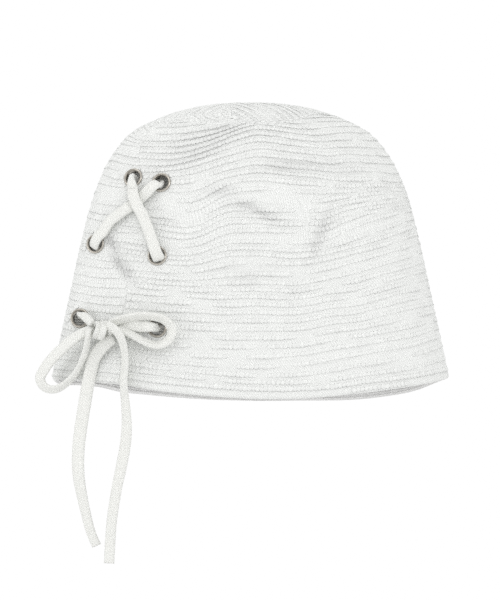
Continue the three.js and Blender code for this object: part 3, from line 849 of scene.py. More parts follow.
def half_gap(seam, way):
    """Half the gap at a seam, in degrees of turn."""
    small = 0.005
    later = read(seam, "way", "turn", np.minimum(1, way + small))
    earlier = read(seam, "way", "turn", np.maximum(0, way - small))
    slant = way * np.radians(later - earlier) / (2 * small)
    return np.degrees(SEAM_GAP / 2 * np.hypot(1, slant) / (way * DISK_SIZE))


def roll(distance, radius):
    """How deep the cloth lies at a distance from an edge that it rolls into."""
    near = np.clip(1 - distance / radius, 0, 1)
    return radius * (1 - np.sqrt(1 - near * near))


def lengths(points, axis):
    """The distance gone along one axis of a grid of points."""
    steps = np.linalg.norm(np.diff(points, axis=axis), axis=-1)
    pad = [(0, 0), (0, 0)]
    pad[axis] = (1, 0)
    return np.cumsum(np.pad(steps, pad), axis=axis)


def ridge_profile(share):
    """A ridge from one groove (0) to the next (1): steep below and easy above."""
    share = share % 1
    body = smooth(0, 0.13, share) * (1 - 0.72 * smooth(0.36, 0.62, share))
    return body * (1 - smooth(0.93, 1, share))


class Cloth:
    """The grid of one panel: places, normals and ridge numbers, and at each place how bold the ridge
    is, how much it stands up as a fold and how deep a crease is, from 0 to 1.
    All three also set how much painted shade the point takes."""

    def __init__(self, knit, seams, lap, steps, flow, in_front, apex_fold, seed):
        self.knit = knit
        self.steps = steps
        u, v = self.grid(seams, lap)
        self.point = crown(u, v)
        self.normal = normal_on(crown, u, v)
        self.along = lengths(self.point, 1)
        down = lengths(self.point, 0)
        self.from_rim = down[-1:] - down
        self.ridge = uneven_ridges(flow(u, v) / knit.ridge_pitch, self.along)
        crowding = self.slopes()
        near_apex = 1 - smooth(*APEX_SPAN, np.hypot(u, v))
        x = self.point[..., 0]
        drop = WALL - self.point[..., 2]
        front = facing_front(self.point) * in_front
        marks = swell(BOLDER, "more", x, drop) * front
        self.crease = swell(CREASES, "sharp", x, drop) * front
        self.fold = np.clip(marks + apex_fold * near_apex, 0, 1)
        self.near_eyelet = np.full_like(x, FAR_AWAY)
        for seat in SEATS.values():
            beside = beside_seat(self.point, seat)[1]
            self.near_eyelet = np.minimum(self.near_eyelet, beside)
        wander = unevenness(self.along, self.ridge, seed)
        bold = BOLD_MEAN + BOLD_WANDER * wander + marks + BOLD_APEX * near_apex
        bold = np.maximum(bold, BOLD_HEM * (1 - smooth(*HEM_RIDGE_SPAN, self.from_rim)))
        bold = np.clip(bold, BOLD_LEAST, 1)
        bold = bold * (1 - CROWDED_LOSS * smooth(*CROWDED_SPAN, crowding))
        self.bold = bold * smooth(*EYELET_SPAN, self.near_eyelet)

    def grid(self, seams, lap):
        """The panel's places on the disk, in even steps that close up at the seams and the rim."""
        rows, across = self.steps
        start_seam, end_seam = seams
        edge_steps = len(EDGE_STEPS) - 1
        rim_ways = 1 - EDGE_STEPS[::-1] / APEX_TO_RIM
        ways = np.linspace(APEX_SHARE, rim_ways[0], rows + 1 - edge_steps)
        way = np.concatenate([ways[:-1], rim_ways])[:, None]
        start = read(start_seam, "way", "turn", way) + half_gap(start_seam, way)
        end = read(end_seam, "way", "turn", way) + lap - half_gap(end_seam, way)
        rough = np.linspace(0, 1, WIDTH_STEPS + 1)[None]
        rough_points = plain_crown(*from_apex(way, start + (end - start) * rough))
        self.width = lengths(rough_points, 1)[:, -1:]
        edge = EDGE_STEPS[None] * np.minimum(1, self.width / EDGE_ROOM) / self.width
        middle = np.linspace(0, 1, across - 2 * edge_steps + 1)[None, 1:-1]
        middle = edge[:, -1:] + (1 - 2 * edge[:, -1:]) * middle
        share = np.concatenate([edge, middle, 1 - edge[:, ::-1]], axis=1)
        self.from_seam = np.minimum(share, 1 - share) * self.width
        return from_apex(way, start + (end - start) * share)

    def slopes(self):
        """Finds the way that the ridges run, and returns how crowded they are (1 is even)."""
        down = np.gradient(self.point, axis=0)
        right = np.gradient(self.point, axis=1)
        by_row = np.gradient(self.ridge, axis=0)
        by_column = np.gradient(self.ridge, axis=1)
        dd = (down * down).sum(-1)
        rr = (right * right).sum(-1)
        dr = (down * right).sum(-1)
        area = np.maximum(dd * rr - dr * dr, 1e-24)
        part_down = (rr * by_row - dr * by_column) / area
        part_right = (dd * by_column - dr * by_row) / area
        climb = part_down[..., None] * down + part_right[..., None] * right
        self.run = unit(np.cross(unit(climb), self.normal))
        return np.linalg.norm(climb, axis=-1) * self.knit.ridge_pitch

    def groove(self):
        """How much painted shade each point takes in a groove, a seam or a crease, from 0 to 1."""
        share = self.ridge % 1
        # The painted shade reaches further below the groove, where the ridge above would cast its
        # shadow.
        nearest = np.minimum(share, (1 - share) * 0.7)
        wide = GROOVE_WIDE + FOLD_WIDER * self.fold
        line = np.exp(-((nearest / wide) ** 2)) * self.bold * (GROOVE_DARK + FOLD_DARKER * self.fold)
        seam = SEAM_DARK * (1 - smooth(*SEAM_SHADE_SPAN, self.from_seam))
        return np.clip(line + seam + CREASE_DARK * self.crease, 0, 1)

    def outside(self):
        """The points of the outside, with its ridges and creases, rolled in at the edges."""
        edge = smooth(*SEAM_SPAN, self.from_seam) * smooth(*RIM_SPAN, self.from_rim)
        lift = self.knit.ridge_height * (ridge_profile(self.ridge) - PROFILE_LEVEL)
        lift = lift * (0.2 + 0.8 * self.bold) * (1 + FOLD_HIGHER * self.fold)
        depth = roll(self.from_seam, SEAM_ROLL) + roll(self.from_rim, RIM_ROLL)
        depth = depth + CREASE_DEPTH * self.crease
        return self.point + self.normal * (lift * edge - depth)[..., None]

    def inside(self):
        """The points of the inside, with the hem and the folded seams, thin at the apex."""
        hem = 1 - smooth(*HEM_SPAN, self.from_rim)
        seam = SEAM_FOLD * (1 - smooth(*SEAM_FOLD_SPAN, self.from_seam))
        thick = WALL + (HEM_WALL - WALL) * hem + seam - roll(self.from_rim, RIM_ROLL)
        thick = thick * np.minimum(1, THIN_SHARE + self.width / THIN_WIDE)
        return self.point - self.normal * thick[..., None]


def wall_faces(rows, across):
    """Faces of a closed wall: a fine outside, a coarse inside and the edges between."""
    fine = np.arange((rows + 1) * (across + 1)).reshape(rows + 1, across + 1)
    coarse_rows = rows // COARSE
    coarse_across = across // COARSE
    coarse = fine.size + np.arange((coarse_rows + 1) * (coarse_across + 1))
    coarse = coarse.reshape(coarse_rows + 1, coarse_across + 1)

    def quads(grid, flip):
        corners = [grid[:-1, :-1], grid[1:, :-1], grid[1:, 1:], grid[:-1, 1:]]
        if flip:
            corners.reverse()
        return np.stack(corners, axis=-1).reshape(-1, 4).tolist()

    def edge(outer, inner, flip):
        faces = []
        for step in range(len(inner) - 1):
            run = outer[step * COARSE:(step + 1) * COARSE + 1].tolist()
            face = run + [inner[step + 1], inner[step]]
            faces.append(face[::-1] if flip else face)
        return faces

    return (
        quads(fine, False) + quads(coarse, True),
        edge(fine[0], coarse[0], False) + edge(fine[-1], coarse[-1], True)
        + edge(fine[:, 0], coarse[:, 0], True) + edge(fine[:, -1], coarse[:, -1], False),
        fine.size,
    )


def new_mesh(name, points, faces, material, edges=()):
    """A smooth mesh object at the origin, in the scene."""
    mesh = bpy.data.meshes.new(name)
    mesh.from_pydata(np.asarray(points).reshape(-1, 3).tolist(), edges, faces)
    mesh.update()
    mesh.shade_smooth()
    mesh.materials.append(material)
    piece = bpy.data.objects.new(name, mesh)
    bpy.context.scene.collection.objects.link(piece)
    return piece


def store(mesh, name, values, kind="FLOAT"):
    """Stores one value, or one vector, for each point of a mesh."""
    field = "vector" if kind == "FLOAT_VECTOR" else "value"
    data = mesh.attributes.new(name, kind, "POINT").data
    data.foreach_set(field, np.ascontiguousarray(values, np.float32).ravel())


def store_uv(mesh, name, values):
    """Stores two values for each point of a mesh as a UV map."""
    corners = np.empty(len(mesh.loops), np.int32)
    mesh.loops.foreach_get("vertex_index", corners)
    layer = mesh.uv_layers.new(name=name)
    layer.data.foreach_set("uv", np.asarray(values, np.float32)[corners].ravel())


def wear(piece, node):
    """The piece rides on the one body and stands for a CAD node."""
    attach(piece, BODY)
    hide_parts(node)
    return piece


def settled(piece):
    """The piece with its modifiers worked out, as a plain mesh."""
    graph = bpy.context.evaluated_depsgraph_get()
    done = bpy.data.meshes.new_from_object(piece.evaluated_get(graph))
    piece.modifiers.clear()
    old = piece.data
    piece.data = done
    bpy.data.meshes.remove(old)
    return piece


def ring_round(axis, sides):
    """The directions of a ring round an axis."""
    across = unit(np.cross(axis, (0, 0, 1.0)))
    other = np.cross(axis, across)
    angle = np.linspace(0, 2 * math.pi, sides, endpoint=False)
    return np.outer(np.cos(angle), across) + np.outer(np.sin(angle), other)


def cylinder(centre, axis, radius, low, high, sides=24):
    """Points and faces of a cylinder along an axis, from low to high."""
    ring = centre + ring_round(axis, sides) * radius
    points = np.concatenate([ring + axis * low, ring + axis * high])
    faces = [list(range(sides))[::-1], list(range(sides, 2 * sides))]
    for side in range(sides):
        after = (side + 1) % sides
        faces.append([side, after, sides + after, sides + side])
    return points, faces


def cut_eyelet_holes(piece):
    """Cuts the holes of those eyelets that sit on the piece."""
    points = []
    faces = []
    for centre, axis in SEATS.values():
        ring, sides = cylinder(centre, axis, EYELET_CUT, -4 * WALL, 3 * WALL)
        faces += [[corner + len(points) for corner in side] for side in sides]
        points += ring.tolist()
    tool = new_mesh("hole_tool", points, faces, piece.data.materials[0])
    cut = piece.modifiers.new("holes", "BOOLEAN")
    cut.operation = "DIFFERENCE"
    cut.solver = "MANIFOLD"
    cut.object = tool
    settled(piece)
    bpy.data.objects.remove(tool)


def panel_piece(name, cloth, materials, punched):
    """One panel's wall of knit, with its ridges, seams and hem."""
    rows, across = cloth.steps
    outside = cloth.outside()
    inside = cloth.inside()[::COARSE, ::COARSE]
    points = np.concatenate([outside.reshape(-1, 3), inside.reshape(-1, 3)])
    sides, edges, fine = wall_faces(rows, across)
    piece = new_mesh(name, points, sides + edges, materials[0])
    mesh = piece.data
    mesh.materials.append(materials[1])
    first_inside = rows * across
    inner = np.zeros(len(mesh.polygons), np.int32)
    inner[first_inside:len(sides)] = 1
    mesh.polygons.foreach_set("material_index", inner)
    blank = np.zeros(len(points) - fine)
    # Painted shade in the grooves, seams and creases, for the knit's finish.
    store(mesh, "groove", np.concatenate([cloth.groove().ravel(), blank]))
    along = cloth.along / cloth.knit.stitch_pitch
    uv = np.stack([along, cloth.ridge], axis=-1)
    uv = np.concatenate([uv.reshape(-1, 2), uv[::COARSE, ::COARSE].reshape(-1, 2)])
    store_uv(mesh, "knit", uv)
    if punched:
        cut_eyelet_holes(piece)
    piece.data.set_sharp_from_angle(angle=SHARP_EDGE)
    return piece


# ---------------------------------------------------------------- stitches along the ridges

STITCH_LINE = 0.33  # where along a ridge's profile its stitches sit
STITCH_CLEAR = 0.0009  # how far they keep from a seam
STITCH_RIM = 0.0016  # and from the rim
STITCH_BOLD = 0.1  # a fainter ridge has none
STITCH_SLANT = math.radians(20)
STITCH_TILT = math.radians(5.5)
STITCH_WOBBLE = 0.22  # radians
STITCH_WIDE = 1.377  # of the pitch, so that each laps over the next
STITCH_LONG = 1.02  # of its given height
STITCH_THICK = 0.15  # of the pitch


def ridge_lines(name, cloth, material):
    """Edges along every ridge, which carry its normal, its run, its boldness and its crease."""
    level = cloth.ridge - STITCH_LINE
    keep = ((cloth.from_seam > STITCH_CLEAR) & (cloth.from_rim > STITCH_RIM)
            & (cloth.near_eyelet > EYELET_CLEAR) & (cloth.bold > STITCH_BOLD))
    fields = np.concatenate([
        cloth.outside(), cloth.normal, cloth.run, cloth.bold[..., None], cloth.crease[..., None],
    ], axis=-1)

    def crossings(first, second):
        """Which of the grid's edges a ridge crosses, and the fields at each crossing."""
        a = level[first]
        b = level[second]
        high = np.floor(np.maximum(a, b))
        hit = (np.floor(a) != np.floor(b)) & keep[first] & keep[second]
        share = np.where(hit, (high - a) / np.where(hit, b - a, 1), 0)[..., None]
        values = fields[first] * (1 - share) + fields[second] * share
        return hit, values

    flat = (slice(None), slice(None, -1)), (slice(None), slice(1, None))
    steep = (slice(None, -1), slice(None)), (slice(1, None), slice(None))
    flat_hit, flat_values = crossings(*flat)
    steep_hit, steep_values = crossings(*steep)
    flat_number = np.where(flat_hit, np.cumsum(flat_hit).reshape(flat_hit.shape) - 1, -1)
    count = int(flat_hit.sum())
    steep_number = np.cumsum(steep_hit).reshape(steep_hit.shape) - 1 + count
    steep_number = np.where(steep_hit, steep_number, -1)
    values = np.concatenate([flat_values[flat_hit], steep_values[steep_hit]])
    # A ridge that crosses a grid square joins the two crossings on its sides.
    around = np.stack([
        flat_number[:-1], flat_number[1:], steep_number[:, :-1], steep_number[:, 1:],
    ], axis=-1).reshape(-1, 4)
    joined = np.sort(around[(around >= 0).sum(-1) == 2], axis=-1)[:, 2:]
    piece = new_mesh(name, values[:, :3], [], material, joined.tolist())
    store(piece.data, "outward", values[:, 3:6], "FLOAT_VECTOR")
    store(piece.data, "run", values[:, 6:9], "FLOAT_VECTOR")
    store(piece.data, "bold", values[:, 9])
    store(piece.data, "crease", values[:, 10])
    return piece


def new_tree(name, sockets):
    """A Geometry Nodes tree with named inputs, and its first and last nodes."""
    tree = bpy.data.node_groups.new(name, "GeometryNodeTree")
    tree.interface.new_socket("Geometry", in_out="INPUT", socket_type="NodeSocketGeometry")
    for label, kind in sockets:
        tree.interface.new_socket(label, in_out="INPUT", socket_type=kind)
    tree.interface.new_socket("Geometry", in_out="OUTPUT", socket_type="NodeSocketGeometry")
    nodes = Nodes(tree)
    entry = tree.nodes.new("NodeGroupInput")
    inputs = {socket.name: Wire(nodes, socket) for socket in entry.outputs if socket.name}
    exit_node = tree.nodes.new("NodeGroupOutput")
    return tree, nodes, inputs, exit_node


def stitch_tree():
    """Sets slanted stitches, each a flattened ball, along every edge of a mesh."""
    tree, nodes, given, last = new_tree("ridge_stitches", [
        ("Pitch", "NodeSocketFloat"),
        ("Tall", "NodeSocketFloat"),
        ("Slant", "NodeSocketFloat"),
        ("Tilt", "NodeSocketFloat"),
        ("Seed", "NodeSocketInt"),
        ("Material", "NodeSocketMaterial"),
    ])

    def named(name, kind):
        return nodes.add("GeometryNodeInputNamedAttribute", {"data_type": kind}, {"Name": name})

    def chance(low, high, seed):
        inputs = {2: low, 3: high, "Seed": given["Seed"] + seed}
        return nodes.add("FunctionNodeRandomValue", {"data_type": "FLOAT"}, inputs, 1)

    def three(x, y, z):
        return nodes.add("ShaderNodeCombineXYZ", None, {0: x, 1: y, 2: z})

    def transform(shape, name, value):
        return nodes.add("GeometryNodeTransform", None, {"Geometry": shape, name: value})

    def keep(shape, name, value, domain):
        settings = {"data_type": "FLOAT", "domain": domain}
        inputs = {"Geometry": shape, "Name": name, "Value": value}
        return nodes.add("GeometryNodeStoreNamedAttribute", settings, inputs)

    def stitch():
        """One stitch, with its tuck: painted shade at its lower and inner edge."""
        thick = given["Pitch"] * STITCH_THICK
        size = three(given["Pitch"] * STITCH_WIDE, given["Tall"] * STITCH_LONG, thick)
        ball = nodes.add(
            "GeometryNodeMeshUVSphere", None, {"Segments": 8, "Rings": 4, "Radius": 0.5})
        ball = transform(ball, "Rotation", (math.pi / 2, 0, 0))
        ball = transform(ball, "Scale", size)
        place = nodes.add("GeometryNodeInputPosition")
        up = nodes.part(place, 1) / given["Tall"]
        out = nodes.part(place, 2) / thick
        # Painted shade, darkest at the stitch's lower end and where it meets the wall.
        ball = keep(ball, "tuck", (0.5 - out) * (0.1 - up * 1.6), "POINT")
        return transform(ball, "Rotation", three(given["Tilt"] * -1, 0, given["Slant"] * -1))

    curve = nodes.add("GeometryNodeMeshToCurve", None, {"Mesh": given["Geometry"]})
    points = nodes.add("GeometryNodeResampleCurve", {"mode": "LENGTH"}, {
        "Curve": curve, "Length": given["Pitch"]})
    turn = nodes.add("FunctionNodeAxesToRotation", {"primary_axis": "Z", "secondary_axis": "X"}, {
        "Primary Axis": named("outward", "FLOAT_VECTOR"),
        "Secondary Axis": named("run", "FLOAT_VECTOR")})
    wobble = nodes.add("FunctionNodeRotateRotation", {"rotation_space": "LOCAL"}, {
        0: turn, 1: three(0, 0, chance(-STITCH_WOBBLE, STITCH_WOBBLE, 1))})
    bold = named("bold", "FLOAT")
    size = chance(0.9, 1.1, 2)
    # On a faint ridge the stitches are shorter and much flatter.
    scale = three(size, size * (0.7 + 0.3 * bold), size * (0.28 + 0.82 * bold))
    placed = nodes.add("GeometryNodeInstanceOnPoints", None, {
        "Points": points, "Instance": stitch(), "Rotation": wobble, "Scale": scale})
    placed = keep(placed, "yarn", chance(0, 1, 3), "INSTANCE")
    whole = nodes.add("GeometryNodeRealizeInstances", None, {"Geometry": placed})
    whole = nodes.add("GeometryNodeSetShadeSmooth", None, {"Geometry": whole})
    whole = nodes.add("GeometryNodeSetMaterial", None, {
        "Geometry": whole, "Material": given["Material"]})
    tree.links.new(whole.socket, last.inputs[0])
    return tree


def run_tree(piece, tree, values):
    """Runs a tree on a piece with the values of its named inputs, and keeps the result."""
    modifier = piece.modifiers.new(tree.name, "NODES")
    modifier.node_group = tree
    for item in tree.interface.items_tree:
        if item.in_out == "INPUT" and item.name in values:
            modifier[item.identifier] = values[item.name]
    return settled(piece)


# ---------------------------------------------------------------- the lace's bands

SECTION_POINTS = 20
MILLIMETRES = 1000  # in a metre, for the weave of the lace
BAND_STEP = 0.0009  # from one ring of a band to the next
BAND_EASY = 0.0064  # the lace's width where it runs free between eyelets
BAND_GATHERED = 0.35  # how much thicker the lace grows where it is drawn narrow


def gone_along(path):
    """How far each point of a path is from its start."""
    return np.concatenate([[0], np.cumsum(np.linalg.norm(np.diff(path, axis=0), axis=1))])


def drawn_path(points):
    """A smooth path through points in even steps, the points' keys, and each step's own key."""
    chords = np.linalg.norm(np.diff(points, axis=0), axis=1)
    keys = np.concatenate([[0], np.cumsum(np.sqrt(chords))])

    def curve(at):
        return np.stack([curve_through(keys, points[:, axis], at) for axis in range(3)], axis=-1)

    fine = np.linspace(0, keys[-1], 40 * len(points))
    gone = gone_along(curve(fine))
    count = max(8, round(gone[-1] / BAND_STEP))
    even = np.interp(np.linspace(0, gone[-1], count + 1), gone, fine)
    return curve(even), keys, even


def band_section(wide, thick):
    """The outline of the flattened lace: full at its two edges, a little hollow between.

    Powers below 1 make an ellipse squarer.
    """
    angle = np.linspace(0, 2 * math.pi, SECTION_POINTS, endpoint=False)
    across = np.sign(np.cos(angle)) * np.abs(np.cos(angle)) ** 0.75
    height = np.sign(np.sin(angle)) * np.abs(np.sin(angle)) ** 0.8
    hollow = 1 - 0.16 * np.exp(-((across / 0.45) ** 2))
    return np.stack([across * wide[:, None] / 2, height * hollow * thick[:, None] / 2], axis=-1)


def band(name, path, facing, wide, thick, material):
    """A closed band of lace along a path, with its flat side facing the given way."""
    tangent = unit(np.gradient(path, axis=0))
    facing = unit(facing - tangent * (facing * tangent).sum(-1, keepdims=True))
    side = np.cross(tangent, facing)
    section = band_section(wide, thick)
    rings = (path[:, None] + side[:, None] * section[..., :1] + facing[:, None] * section[..., 1:])
    count = len(path)
    corner = np.arange(count * SECTION_POINTS).reshape(count, SECTION_POINTS)
    after = np.roll(corner, -1, axis=1)
    sides = np.stack([corner[:-1], after[:-1], after[1:], corner[1:]], axis=-1)
    faces = sides.reshape(-1, 4).tolist() + [corner[0][::-1].tolist(), corner[-1].tolist()]
    piece = new_mesh(name, rings, faces, material)
    around = np.abs(np.linspace(0, 1, SECTION_POINTS, endpoint=False) * 2 - 1)
    along = np.repeat(gone_along(path)[:, None], SECTION_POINTS, axis=1) * MILLIMETRES
    uv = np.stack([np.tile(around, (count, 1)), along], axis=-1)
    store_uv(piece.data, "lace", uv.reshape(-1, 2))
    return piece


def thickness(lace, wide):
    """The lace's thickness where it has a given width."""
    return lace.thickness * (1 + BAND_GATHERED * np.clip(1 - wide / lace.width, 0, 1))


def free_band(name, rows, lace, material):
    """A free part of the lace from its table. Returns the piece and its path."""
    points = np.stack([rows["x"], rows["y"], WALL - rows["drop"]], axis=-1)
    path, keys, even = drawn_path(points)
    tangent = unit(np.gradient(path, axis=0))
    front = unit(TO_FRONT - tangent * (tangent @ TO_FRONT)[:, None])
    turned = np.radians(curve_through(keys, rows["turned"], even))[:, None]
    facing = front * np.cos(turned) + np.cross(tangent, front) * np.sin(turned)
    wide = curve_through(keys, rows["wide"], even)
    return band(name, path, facing, wide, thickness(lace, wide), material), path


def leaving(name, target, side):
    """The lace as it climbs out of an eyelet towards a point, on the outside (1) or inside (-1).

    Gives points, normals and widths, as the next functions do.
    """
    centre, axis = SEATS[name]
    dive, wide, aside, lift = DIVES[name] if side > 0 else INSIDE_DIVE
    along = target - centre
    along = unit(along - axis * (along @ axis))
    base = 0 if side > 0 else WALL
    centre = centre + np.array([aside, 0, lift])
    out = CLIMB_OUT["out"] - CLIMB_OUT["dive_out"] * dive
    rise = CLIMB_OUT["rise"] - CLIMB_OUT["dive_down"] * dive
    widths = wide + (BAND_EASY - wide) * CLIMB_OUT["ease"]
    return [(centre + along * out[row] + axis * side * (rise[row] + base), axis, widths[row])
            for row in range(len(out))]


def easy(places):
    """The lace at places on the front, given as x, drop and height, at its easy width."""
    return [(*above(*place), BAND_EASY) for place in places]


def run_between(start, end, middle, side):
    """The lace from one eyelet to another, by way of the points between."""
    first = leaving(start, middle[0][0] if middle else SEATS[end][0], side)
    last = leaving(end, middle[-1][0] if middle else SEATS[start][0], side)
    return first + middle + last[::-1]


def inside_middle(start, end):
    """The point halfway between two eyelets, inside the wall."""
    middle = (SEATS[start][0] + SEATS[end][0]) / 2
    return easy([(middle[0], WALL - middle[2], -WALL - INSIDE_DEPTH)])


def spot(place):
    """The point at x, y and drop."""
    return np.array([place[0], place[1], WALL - place[2]])


def lace_route():
    """The lace through all the eyelets: points, normals and widths."""
    left_end = spot(LACE_LEFT_END)
    right_end = spot(LACE_RIGHT_END)
    up = inside_middle("eyelet_bottom_left", "eyelet_middle_left")
    down = inside_middle("eyelet_middle_right", "eyelet_bottom_right")
    start = leaving("eyelet_bottom_left", left_end, 1)[:3]
    return (
        [(left_end, TO_FRONT, LACE_END_WIDE)] + start[::-1]
        + run_between("eyelet_bottom_left", "eyelet_middle_left", up, -1)
        + run_between("eyelet_middle_left", "eyelet_top_right", easy(RUN_UNDER), 1)
        + run_between("eyelet_top_right", "eyelet_top_left", [], -1)
        + run_between("eyelet_top_left", "eyelet_middle_right", easy(RUN_OVER), 1)
        + run_between("eyelet_middle_right", "eyelet_bottom_right", down, -1)
        + leaving("eyelet_bottom_right", right_end, 1)
        + easy(LAST_BEND)
        + [(right_end, TO_FRONT, LACE_END_WIDE)]
    )


# ---------------------------------------------------------------- finishes

# In these patterns a wave's numbers are turns for each stitch, ridge or millimetre, a noise's
# scale is for each metre, and the rest are shares.
KNIT_SHEEN = {"Sheen_Weight": 0.15, "Sheen_Roughness": 0.6, "Specular_IOR_Level": 0.15}
HOLLOW_SHADE_SPAN = (-0.15, -0.125)  # the heights over which painted shade darkens the inside
FLOOR_PALE = 0.92
FLOOR_GLOW = 0.4  # what brings the floor up to the white of the room


def knit_finish(knit):
    """The face of the knit: a fine slanting weave between ridges, with painted shade in the grooves
    and in the weave's lows.
    """
    finish = Finish("ridged_white_knit")
    along, ridge = finish.uv("knit")
    groove = finish.attribute("groove")
    place = finish.place()
    weave = finish.wave(along * 1.6 + ridge * 2.5)
    cross = finish.wave(ridge * 7)
    fuzz = finish.noise(place, 1600, 3.0, 0.6)
    cloud = finish.noise(place, 60, 2.0, 0.5)
    height = weave * 0.62 + cross * 0.2 + fuzz * 0.5
    # Painted shade in the grooves, seams and creases and in the lows of the weave; the cloud is a
    # random tone.
    dark = finish.limit(groove * 0.6 + (1 - weave) * 0.5 + (cloud - 0.5) * 0.25, 0, 1)
    return finish.set(
        Base_Color=finish.mix(dark, colour(knit.yarn), colour(knit.shade)),
        Normal=finish.bump(height, 0.00035, 0.7),
        Roughness=0.92,
        **KNIT_SHEEN,
    )


def stitch_finish(knit):
    """The raised stitches: each a random tone of its own, with fine fibres, and painted shade at
    their tucks and in the creases.
    """
    finish = Finish("white_ridge_stitches")
    yarn = finish.attribute("yarn")
    fibre = finish.noise(finish.place(), 2600, 2.0, 0.6)
    # Painted shade at the lower, inner edge of each stitch, as bold as its ridge.
    tuck = finish.limit(finish.attribute("tuck"), 0, 0.7) * finish.attribute("bold")
    # Painted shade in the creases, carried onto the stitches.
    crease = finish.attribute("crease")
    dark = finish.limit(yarn * 0.25 + fibre * 0.45 + tuck * 0.9 + crease * 0.55, 0, 1)
    return finish.set(
        Base_Color=finish.mix(dark, colour(knit.yarn), colour(knit.shade)),
        Normal=finish.bump(fibre, 0.00012, 0.7),
        Roughness=0.9,
        **KNIT_SHEEN,
    )


def inside_finish(knit):
    """The back of the knit: low rows across with painted shade in their lows, and painted shade well
    above the rim.
    """
    finish = Finish("white_knit_inside")
    along, ridge = finish.uv("knit")
    place = finish.place()
    # Painted shade that deepens with height inside the hat.
    deep = finish.limit(finish.part(place, 2), *HOLLOW_SHADE_SPAN)
    rows = finish.wave(ridge * 3)
    beads = finish.wave(along * 2 + finish.wave(ridge * 1.5) * 0.5)
    fuzz = finish.noise(place, 1200, 3.0, 0.6)
    # Painted shade in the lows of the rows; the fuzz is a random tone.
    dark = finish.limit((1 - rows) * 0.35 + fuzz * 0.2, 0, 1)
    groove = colour([part * 0.7 for part in knit.inside])
    near_rim = finish.mix(dark, colour(knit.inside), groove)
    return finish.set(
        Base_Color=finish.mix(deep, near_rim, colour(knit.hollow)),
        Normal=finish.bump(rows * 0.6 + rows * beads * 0.6 + fuzz * 0.3, 0.0005, 0.8),
        Roughness=0.95,
        Specular_IOR_Level=0.1,
    )


def lace_finish(lace):
    """Soft cotton lace: a fine twill that meets in the middle of each face, with painted shade in
    the twill's lows.
    """
    finish = Finish("white_cotton_lace")
    around, along = finish.uv("lace")
    twill = finish.wave(along / 1.5 + around * 5)
    ribs = finish.wave(around * 7)
    fuzz = finish.noise(finish.place(), 1500, 3.0, 0.65)
    height = twill * 0.5 + ribs * twill * 0.3 + fuzz * 0.6
    # Painted shade in the lows of the twill; the fuzz is a random tone.
    dark = finish.limit((1 - twill) * 0.32 + (fuzz - 0.5) * 0.5, 0, 1)
    return finish.set(
        Base_Color=finish.mix(dark, colour(lace.cotton), colour(lace.shade)),
        Normal=finish.bump(height, 0.0003, 0.8),
        Roughness=0.9,
        Sheen_Weight=0.2,
        Sheen_Roughness=0.5,
        Specular_IOR_Level=0.2,
    )


def nickel_finish(eyelet):
    """Nickel with a warm cast, tarnished in its hollows, with painted shade in its fine groove, at
    its outer edge and down its bore.
    """
    finish = Finish("warm_nickel")
    worn = finish.noise(finish.place(), 900, 3.0, 0.6)
    # The hollow attribute is tarnish with painted shade.
    dark = finish.limit(finish.attribute("hollow") + (worn - 0.5) * 0.5, 0, 1)
    return finish.set(
        Base_Color=finish.mix(dark, colour(eyelet.nickel), colour(eyelet.tarnish_and_shade)),
        Normal=finish.bump(worn, 0.00005, 0.3),
        Metallic=1.0,
        Roughness=finish.limit(worn, -1.2, 2.4) * 0.5,
    )


def floor_finish():
    """Pale and matte, and as white as the room where it is seen."""
    finish = Finish("pale_floor")
    shown = finish.add("ShaderNodeLightPath")
    return finish.set(
        Base_Color=grey(FLOOR_PALE),
        Emission_Color=finish.mix(shown, grey(0), grey(FLOOR_GLOW)),
        Emission_Strength=1,
        Roughness=0.9,
    )


# ---------------------------------------------------------------- operators

# Each lamp's place and size, and the setting that gives its power.
LAMPS = {
    "key": ((-0.4, -1.4, 1.6), 2.4, "key"),
    "fill": ((0.7, -2.2, 0.4), 1.5, "fill"),
    "left_side": ((-1.9, -0.8, 0.1), 1.0, "sides"),
    "right_side": ((1.9, -0.8, 0.1), 1.0, "sides"),
    "back": ((0, 1.4, 2.0), 1.8, "back"),
}
FLOOR_LEVEL = -0.6
FLOOR_HALF = 5.0  # half the floor's width


